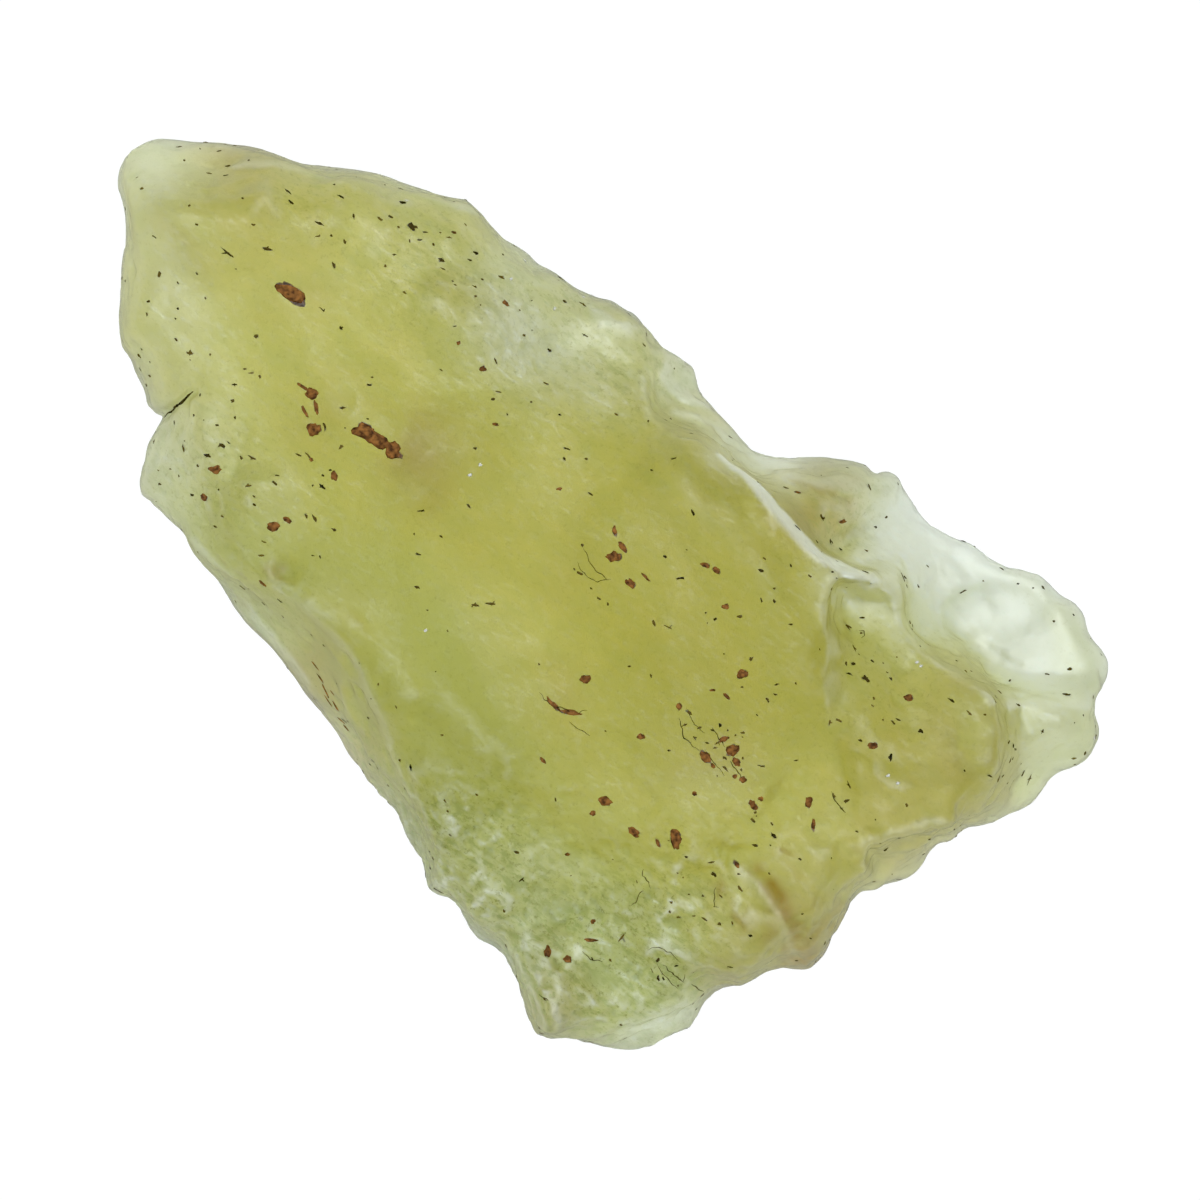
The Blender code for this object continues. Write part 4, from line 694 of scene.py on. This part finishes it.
def note_surface(mesh, points, ends, frost_and_highlight, wander):
    """Stores for each point of the carved stone how frosted it is, with painted highlights on ridges and the
    cliff, how much painted shade its hollows and steep sides get, and how dull, tinted and mottled it is.
    """
    normals = vertex_normals(mesh)
    slope = normals[:, 2]
    bend = ((points - neighbour_mean(points, ends)) * normals).sum(axis=1)[:, None]
    bend = neighbour_mean(bend, ends)[:, 0]
    facing_up = ramp(slope, 0.1, 0.4)
    mottled = patch_weight(points, MOTTLED_PATCHES) * (0.45 + 0.55 * facing_up)
    # The pale patches are partly a painted glow where the glass is thin.
    pale = patch_weight(points, PALE_PATCHES) * (0.60 + 0.40 * facing_up)
    # Convex ridges get a painted highlight.
    crest = ramp(bend, *RIDGE_BEND) * np.clip(0.6 + 1.2 * wander, 0.0, 1.0) * (0.15 + 0.50 * mottled)
    white = np.maximum(np.maximum(frost_and_highlight, crest), 0.86 * pale ** 2)
    store(mesh, "frost_and_highlight", np.clip(white, 0.0, 1.0))
    # Hollows get painted shade.
    store(mesh, "hollow_shade", ramp(-bend, *HOLLOW_BEND) * (0.10 + 0.70 * mottled))
    # Steep sides get painted shade.
    store(mesh, "edge", np.clip(1.0 - np.abs(slope) / 0.6, 0.0, 1.0))
    store(mesh, "dull", np.clip(0.5 - 0.9 * slope, 0.0, 1.0))
    # Partly brown stain, partly painted shade in the recess, along the groove, by the terrace and at rims.
    store(mesh, "brown_and_shade", patch_weight(points, BROWN_AND_SHADE_PATCHES))
    store(mesh, "green", patch_weight(points, GREEN_PATCHES))
    store(mesh, "mottled", mottled)
    store(mesh, "pale", pale)


def carve(stone):
    """Cuts the hollows, ledges, cliff and grooves into the stone, and notes how its surface looks."""
    mesh = stone.data
    points = coordinates(mesh)
    normals = vertex_normals(mesh)
    slope = normals[:, 2]
    ends = edge_ends(mesh)
    tree = BVHTree.FromObject(stone, bpy.context.evaluated_depsgraph_get())
    wander = np.array([noise.noise(Vector(point) * 1.3) for point in points])
    height = SWELL + noise_heights(points) - hollow_depths(points, normals)
    ledges, frost_and_highlight = ledge_relief(points, slope, wander, tree)
    cliff = cliff_band(points, slope, tree)
    side_on = np.clip(1.3 - 1.4 * np.abs(slope), 0.0, 1.0)
    height += ledges + CLIFF_RISE * cliff
    height += soft_spots(points, RIM_SHIFTS) * side_on - groove_depths(points, slope)
    spare_rest_spot(points, slope, height)
    points += normals * height[:, None]
    points += 0.25 * (neighbour_mean(points, ends) - points)
    points[:, 2] = np.maximum(points[:, 2], 0.0)
    put_coordinates(mesh, points)
    # The cliff's band adds a painted bright highlight.
    note_surface(mesh, points, ends, np.maximum(frost_and_highlight, CLIFF_HIGHLIGHT * cliff), wander)


def new_material(name):
    """A material, its node tree and its Principled shader."""
    material = bpy.data.materials.new(name)
    material.use_nodes = True
    graph = material.node_tree
    return material, graph, graph.nodes["Principled BSDF"]


def add_node(graph, kind, values):
    """Adds a node with its input values, where a socket feeds the input, and gives its first output."""
    node = graph.nodes.new(kind)
    for name, value in values.items():
        if isinstance(value, bpy.types.NodeSocket):
            graph.links.new(value, node.inputs[name])
        else:
            node.inputs[name].default_value = value
    return node.outputs[0]


def noted(graph, name):
    """A socket for a number that is stored on the mesh."""
    node = graph.nodes.new("ShaderNodeAttribute")
    node.attribute_name = name
    return node.outputs["Fac"]


def pattern(graph, place, fineness, detail, roughness, distortion):
    """A socket for a cloudy pattern."""
    shape = {"Scale": fineness, "Detail": detail, "Roughness": roughness, "Distortion": distortion}
    return add_node(graph, "ShaderNodeTexNoise", {"Vector": place, **shape})


def spread(graph, value, start, end, low=0.0, high=1.0):
    """A socket that goes from low to high while a value goes from start to end."""
    ends = {"From Min": start, "From Max": end, "To Min": low, "To Max": high}
    return add_node(graph, "ShaderNodeMapRange", {"Value": value, **ends})


def mix_colour(graph, share, low, high):
    """Mixes two colours, given as values or sockets, by a socket's value."""
    mix = graph.nodes.new("ShaderNodeMix")
    mix.data_type = "RGBA"
    graph.links.new(share, mix.inputs["Factor"])
    for socket, colour in ((mix.inputs[6], low), (mix.inputs[7], high)):
        if isinstance(colour, tuple):
            socket.default_value = (*colour, 1.0)
        else:
            graph.links.new(colour, socket)
    return mix.outputs[2]


def scaled_sum(graph, value, scale, start):
    """A socket for start + scale * value, from 0 to 1."""
    total = graph.nodes.new("ShaderNodeMath")
    total.operation = "MULTIPLY_ADD"
    total.use_clamp = True
    total.inputs[1].default_value = scale
    graph.links.new(value, total.inputs[0])
    graph.links.new(start, total.inputs[2])
    return total.outputs["Value"]


def glass_tone(graph, wisps, mottles, grain):
    """The tint of light that passes the surface: one tone over the other, each by its own share."""
    mottled = noted(graph, "mottled")
    grain_depth = spread(graph, mottled, 0.0, 1.0, 0.25, 1.0)
    tone = mix_colour(graph, spread(graph, wisps, 0.30, 0.70), *CLEAR_TONES)
    for share, colour in (
        (noted(graph, "green"), GREEN_TONE),
        # Brown stain and painted shade.
        (noted(graph, "brown_and_shade"), BROWN_AND_SHADE_TONE),
        # Painted shade on steep sides.
        (noted(graph, "edge"), EDGE_SHADE_TONE),
        # Partly a painted glow of thin glass.
        (noted(graph, "pale"), PALE_TONE),
        (spread(graph, mottles, 0.50, 0.40, 0.0, mottled), MOTTLE_TONE),
        # Painted shade in hollows.
        (noted(graph, "hollow_shade"), HOLLOW_SHADE_TONE),
        (spread(graph, grain, 0.45, 0.33, 0.0, grain_depth), GRAIN_TONE),
        # Frosting, with painted highlights on ridges and the cliff.
        (noted(graph, "frost_and_highlight"), FROST_AND_HIGHLIGHT_TONE),
    ):
        tone = mix_colour(graph, share, tone, colour)
    return tone


def glass_whiteness(graph, mottles, flecks):
    """How much light the surface throws back where it is frosted, where it carries painted highlights and
    glow, and where it is mottled or flecked.
    """
    fleck_depth = spread(graph, noted(graph, "pale"), 0.0, 1.0, 0.07, 0.35)
    fleck_amount = spread(graph, flecks, 0.50, 0.80, 0.0, fleck_depth)
    pale_mottles = spread(graph, mottles, 0.52, 0.64, 0.0, noted(graph, "mottled"))
    flecked = scaled_sum(graph, pale_mottles, 0.26, fleck_amount)
    return scaled_sum(graph, noted(graph, "frost_and_highlight"), 0.62, flecked)


def glass_material():
    """Hazy yellow-green glass: plain transmission, IOR and absorption, with a waxy, frosted surface."""
    material, graph, shader = new_material("desert_glass")
    shader.inputs["Transmission Weight"].default_value = 1.0
    shader.inputs["IOR"].default_value = GLASS_IOR
    values = {"Color": GLASS_COLOUR, "Density": GLASS_DENSITY}
    absorption = add_node(graph, "ShaderNodeVolumeAbsorption", values)
    graph.links.new(absorption, graph.nodes["Material Output"].inputs["Volume"])

    place = graph.nodes.new("ShaderNodeTexCoord").outputs["Object"]
    stretched = add_node(graph, "ShaderNodeMapping", {"Vector": place, "Scale": PATTERN_STRETCH})
    wisps = pattern(graph, stretched, *WISPS)
    mottles = pattern(graph, stretched, *MOTTLES)
    flecks = pattern(graph, stretched, *FLECKS)
    grain = pattern(graph, place, *FINE_GRAIN)

    graph.links.new(glass_tone(graph, wisps, mottles, grain), shader.inputs["Base Color"])
    whiteness = glass_whiteness(graph, mottles, flecks)
    # The metallic share whitens frosted places and carries the painted highlights and glow.
    graph.links.new(whiteness, shader.inputs["Metallic"])
    frosted = scaled_sum(graph, whiteness, 0.60, spread(graph, wisps, 0.0, 1.0, 0.22, 0.42))
    graph.links.new(scaled_sum(graph, noted(graph, "dull"), 0.55, frosted), shader.inputs["Roughness"])
    bump = add_node(graph, "ShaderNodeBump", {"Strength": 0.5, "Distance": 0.00003, "Height": grain})
    graph.links.new(bump, shader.inputs["Normal"])
    return material


def speckled_material(name, dark, light, roughness, transmission, ior, fineness):
    """A grain or bleb whose colour varies over a fraction of a millimetre."""
    material, graph, shader = new_material(name)
    shader.inputs["Roughness"].default_value = roughness
    shader.inputs["Transmission Weight"].default_value = transmission
    shader.inputs["IOR"].default_value = ior
    shader.inputs["Specular IOR Level"].default_value = 0.0
    place = graph.nodes.new("ShaderNodeTexCoord").outputs["Object"]
    clouds = pattern(graph, place, fineness, 3.0, 0.5, 0.0)
    tone = mix_colour(graph, spread(graph, clouds, 0.35, 0.65), dark, light)
    graph.links.new(tone, shader.inputs["Base Color"])
    return material


def ball_shape(rings):
    """Unit ball points and faces, with the poles at the ends of Z."""
    sides = 2 * rings
    points = [Vector((0.0, 0.0, 1.0))]
    for ring in range(1, rings):
        tilt = math.pi * ring / rings
        for side in range(sides):
            turn = 2.0 * math.pi * side / sides
            x = math.sin(tilt) * math.cos(turn)
            y = math.sin(tilt) * math.sin(turn)
            points.append(Vector((x, y, math.cos(tilt))))
    points.append(Vector((0.0, 0.0, -1.0)))
    last = len(points) - 1
    faces = []
    for side in range(sides):
        after = (side + 1) % sides
        faces.append((0, 1 + side, 1 + after))
        for ring in range(rings - 2):
            a = 1 + ring * sides
            b = a + sides
            faces.append((a + side, b + side, b + after, a + after))
        a = 1 + (rings - 2) * sides
        faces.append((a + side, last, a + after))
    return points, faces


class Lumps:
    """Small ragged lumps that lie along the surface, all in one mesh."""

    def __init__(self, rings):
        self.ball_points, self.ball_faces = ball_shape(rings)
        self.points = []
        self.faces = []

    def add(self, place, normal, heading, size, ragged, seed):
        """Adds one lump: size is its length, width and thickness."""
        along = Vector((math.cos(heading), math.sin(heading), 0.0))
        along = (along - normal * along.dot(normal)).normalized()
        across = normal.cross(along)
        first = len(self.points)
        corner = Vector((seed * 3.1, seed * 1.7, 0.0))
        for p in self.ball_points:
            swell = 1.0 + ragged * (noise.noise(p * 1.3 + corner) + 0.5 * noise.noise(p * 3.1 + corner))
            offset = along * (p.x * size[0]) + across * (p.y * size[1]) + normal * (p.z * size[2])
            self.points.append(place + offset * (0.5 * swell))
        self.faces.extend(tuple(first + number for number in face) for face in self.ball_faces)


def small_piece(name, shape, look):
    """One piece that holds all lumps or tubes of a kind."""
    mesh = bpy.data.meshes.new(name)
    mesh.from_pydata(shape.points, [], shape.faces)
    mesh.transform(drawing_matrix())
    mesh.materials.append(speckled_material(*look))
    mesh.shade_smooth()
    piece = new_piece(name, mesh)
    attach(piece, BODY)


def on_stone(tree, rows, first=0):
    """For each row that starts with a place: its number, surface point, normal and other values."""
    for number, row in enumerate(rows, first):
        found = surface_under(tree, row[0], row[1])
        if found is not None:
            yield (number, *found, *row[2:])


def brown_blebs(tree):
    """Brown translucent blebs, level with the surface."""
    lumps = Lumps(BLEB_RINGS)
    for number, place, normal, length, width, heading in on_stone(tree, BLEBS):
        thick = BLEB_THICKNESS * width
        raised = place + normal * (0.05 * thick)
        size = (BLEB_SWELL * length, BLEB_SWELL * width, thick)
        lumps.add(raised, normal, math.radians(heading), size, 0.6, number)
    small_piece("brown_blebs", lumps, BLEB_LOOK)


def add_grains(lumps, rng, tree):
    """Adds the dark grains, each as two lumps that cross."""
    for number, place, normal, length, width, heading in on_stone(tree, GRAINS, 1):
        sunk = place - normal * (SPECK_SUNK * width)
        size = (GRAIN_SHARES[0] * length, GRAIN_SHARES[1] * width, GRAIN_SHARES[2] * width)
        lumps.add(sunk, normal, math.radians(heading), size, 0.8, number)
        arm = (ARM_SHARES[0] * length, ARM_SHARES[1] * width, ARM_SHARES[2] * width)
        turned = heading + rng.uniform(*ARM_TURN)
        along = rng.uniform(-ARM_SHIFT, ARM_SHIFT) * length
        across = rng.uniform(-ARM_SHIFT, ARM_SHIFT) * width
        beside = sunk + Vector((along, across, 0.0))
        lumps.add(beside, normal, math.radians(turned), arm, 1.0, number + 500)


def speck_form(rng, width, longest, swing):
    """The heading and size of a speck, by chance."""
    size = (width * rng.uniform(1.0, longest), width, 0.5 * width)
    heading = math.radians(SPECK_HEADING + rng.uniform(-swing, swing))
    return heading, size


def add_specks(lumps, rng, tree):
    """Adds the round dark specks at their own places."""
    for number, place, normal in on_stone(tree, SPECKS, len(GRAINS) + 1):
        width = rng.uniform(*SPECK_WIDTH)
        form = speck_form(rng, width, 3.0, 50.0)
        lumps.add(place - normal * (SPECK_SUNK * width), normal, *form, 1.0, number)


def add_scattered_specks(lumps, rng, mesh):
    """Adds fine specks by chance on all sides, but few on top, where the listed ones lie."""
    points = coordinates(mesh)
    normals = vertex_normals(mesh)
    first = len(GRAINS) + len(SPECKS) + 1
    for number in range(first, first + SCATTERED_SPECKS):
        index = rng.randrange(len(points))
        width = rng.uniform(*SCATTERED_WIDTH)
        place = Vector(points[index])
        normal = Vector(normals[index])
        form = speck_form(rng, width, 3.5, 40.0)
        if place.z < SCATTERED_FLOOR or (normal.z > 0.4 and rng.random() < LEFT_OUT_ON_TOP):
            continue
        lumps.add(place - normal * (SPECK_SUNK * width), normal, *form, 1.0, number)


def dark_specks(tree, mesh):
    """Dark grains and specks, sunk a little in the surface."""
    lumps = Lumps(SPECK_RINGS)
    rng = random.Random(SPECK_SEED)
    add_grains(lumps, rng, tree)
    add_specks(lumps, rng, tree)
    add_scattered_specks(lumps, rng, mesh)
    small_piece("dark_specks", lumps, SPECK_LOOK)


def painted_glints(tree):
    """Small white lumps that stand for painted glints."""
    lumps = Lumps(SPECK_RINGS)
    for number, place, normal in on_stone(tree, GLINTS):
        lumps.add(place, normal, math.radians(GLINT_TURN), GLINT_SIZE, 0.8, number)
    small_piece("painted_glints", lumps, GLINT_LOOK)


def curl_path(tree, line):
    """Surface points and normals along a curl's line, which sways a little."""
    path = []
    for share in np.linspace(0.0, len(line) - 1.0001, 9 * len(line)):
        first = int(share)
        place = Vector(line[first]).lerp(Vector(line[first + 1]), share - first).to_3d()
        place += noise.noise_vector(place * 4.0) * CURL_SWAY
        found = surface_under(tree, place.x, place.y)
        if found is not None:
            path.append(found)
    return path


class Tubes:
    """Closed tubes along the surface, tapered to both ends, all in one mesh."""

    def __init__(self):
        self.points = []
        self.faces = []

    def add(self, path, width):
        """Adds one tube along a path of surface points and normals."""
        base = len(self.points)
        last = len(path) - 1
        for number, (place, normal) in enumerate(path):
            ahead = path[min(number + 1, last)][0] - path[max(number - 1, 0)][0]
            across = ahead.cross(normal).normalized()
            taper = math.sin(math.pi * (number + 0.4) / (last + 0.8)) ** 0.5
            radius = 0.38 * width * taper * (1.0 + 0.5 * noise.noise(place * 6.0))
            for side in range(CURL_SIDES):
                turn = 2.0 * math.pi * side / CURL_SIDES
                self.points.append(place + (across * math.cos(turn) + normal * math.sin(turn)) * radius)
        top = base + last * CURL_SIDES
        for a in range(base, top, CURL_SIDES):
            b = a + CURL_SIDES
            for side in range(CURL_SIDES):
                after = (side + 1) % CURL_SIDES
                self.faces.append((a + side, a + after, b + after, b + side))
        self.faces.append(tuple(reversed(range(base, base + CURL_SIDES))))
        self.faces.append(tuple(range(top, top + CURL_SIDES)))


def dark_curls(tree):
    """Thin dark curls and cracks, as tapered tubes half sunk in the surface."""
    tubes = Tubes()
    for width, line in CURLS:
        tubes.add(curl_path(tree, line), width)
    small_piece("dark_curls", tubes, CURL_LOOK)


def light_table():
    """A wide pale table that glows evenly under the stone and less far from it."""
    mesh = bpy.data.meshes.new("light_table")
    half = TABLE_HALF_WIDTH
    corners = [(x * half, y * half, -TABLE_DROP) for x, y in ((-1, -1), (1, -1), (1, 1), (-1, 1))]
    mesh.from_pydata(corners, [], [(0, 1, 2, 3)])
    table = new_piece("light_table", mesh)
    material, graph, shader = new_material("light_table")
    shader.inputs["Base Color"].default_value = TABLE_COLOUR
    shader.inputs["Roughness"].default_value = 0.9
    place = graph.nodes.new("ShaderNodeTexCoord")
    reach = graph.nodes.new("ShaderNodeVectorMath")
    reach.operation = "LENGTH"
    graph.links.new(place.outputs["Object"], reach.inputs[0])
    glow = spread(graph, reach.outputs["Value"], *GLOW_EDGE, TABLE_GLOW, TABLE_GLOW_FAR)
    glow.node.interpolation_type = "SMOOTHSTEP"
    shader.inputs["Emission Color"].default_value = TABLE_LIGHT
    graph.links.new(glow, shader.inputs["Emission Strength"])
    material.cycles.emission_sampling = "NONE"
    mesh.materials.append(material)


def soft_lamp():
    """A soft square lamp overhead."""
    lamp = bpy.data.lights.new("soft_lamp", "AREA")
    lamp.shape = "SQUARE"
    lamp.size = LAMP_SIZE
    lamp.energy = LAMP_POWER
    lamp.cycles.max_bounces = 0
    holder = bpy.data.objects.new("soft_lamp", lamp)
    holder.location = LAMP_PLACE
    holder.rotation_euler = (-Vector(LAMP_PLACE)).to_track_quat("-Z", "Y").to_euler()
    bpy.context.scene.collection.objects.link(holder)


def pale_room():
    """A pale surrounding, brighter overhead."""
    world = bpy.data.worlds.new("pale_room")
    world.use_nodes = True
    graph = world.node_tree
    background = graph.nodes["Background"]
    background.inputs["Color"].default_value = ROOM_LIGHT
    direction = graph.nodes.new("ShaderNodeTexCoord")
    axes = graph.nodes.new("ShaderNodeSeparateXYZ")
    graph.links.new(direction.outputs["Generated"], axes.inputs["Vector"])
    sky = spread(graph, axes.outputs["Z"], 0.0, 1.0, WORLD_GLOW, ZENITH_GLOW)
    graph.links.new(sky, background.inputs["Strength"])
    world.cycles.sampling_method = "NONE"
    bpy.context.scene.world = world
    bpy.context.scene.view_settings.view_transform = "Standard"


def overhead_camera():
    """The camera straight above the stone, turned as the drawing is."""
    camera = bpy.data.cameras.new("overhead_camera")
    camera.lens = LENS
    camera.sensor_width = SENSOR
    camera.clip_start = 0.01
    holder = bpy.data.objects.new("overhead_camera", camera)
    middle = drawing_matrix() @ Vector((0.0, 0.0, RIM_HEIGHT))
    holder.location = middle + Vector((0.0, 0.0, VIEW_WIDTH * LENS / SENSOR))
    holder.rotation_euler = (0.0, 0.0, DRAWING_TURN)
    bpy.context.scene.collection.objects.link(holder)
    bpy.context.scene.camera = holder


def build():
    """Makes the whole scene around the loaded frame."""
    noise.seed_set(NOISE_SEED)
    stone = worn_stone()
    carve(stone)
    mesh = stone.data
    tree = BVHTree.FromObject(stone, bpy.context.evaluated_depsgraph_get())
    brown_blebs(tree)
    dark_specks(tree, mesh)
    painted_glints(tree)
    dark_curls(tree)
    mesh.transform(drawing_matrix())
    mesh.materials.append(glass_material())
    mesh.shade_smooth()
    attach(stone, BODY)
    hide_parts(NODE)
    light_table()
    soft_lamp()
    pale_room()
    overhead_camera()


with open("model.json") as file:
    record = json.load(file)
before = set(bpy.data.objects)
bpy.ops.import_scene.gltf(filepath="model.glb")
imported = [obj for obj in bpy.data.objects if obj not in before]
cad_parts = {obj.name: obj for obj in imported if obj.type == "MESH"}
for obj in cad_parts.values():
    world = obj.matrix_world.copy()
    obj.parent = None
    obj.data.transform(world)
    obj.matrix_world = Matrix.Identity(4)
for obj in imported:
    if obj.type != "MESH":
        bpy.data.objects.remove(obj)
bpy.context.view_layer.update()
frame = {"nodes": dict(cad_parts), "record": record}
build()
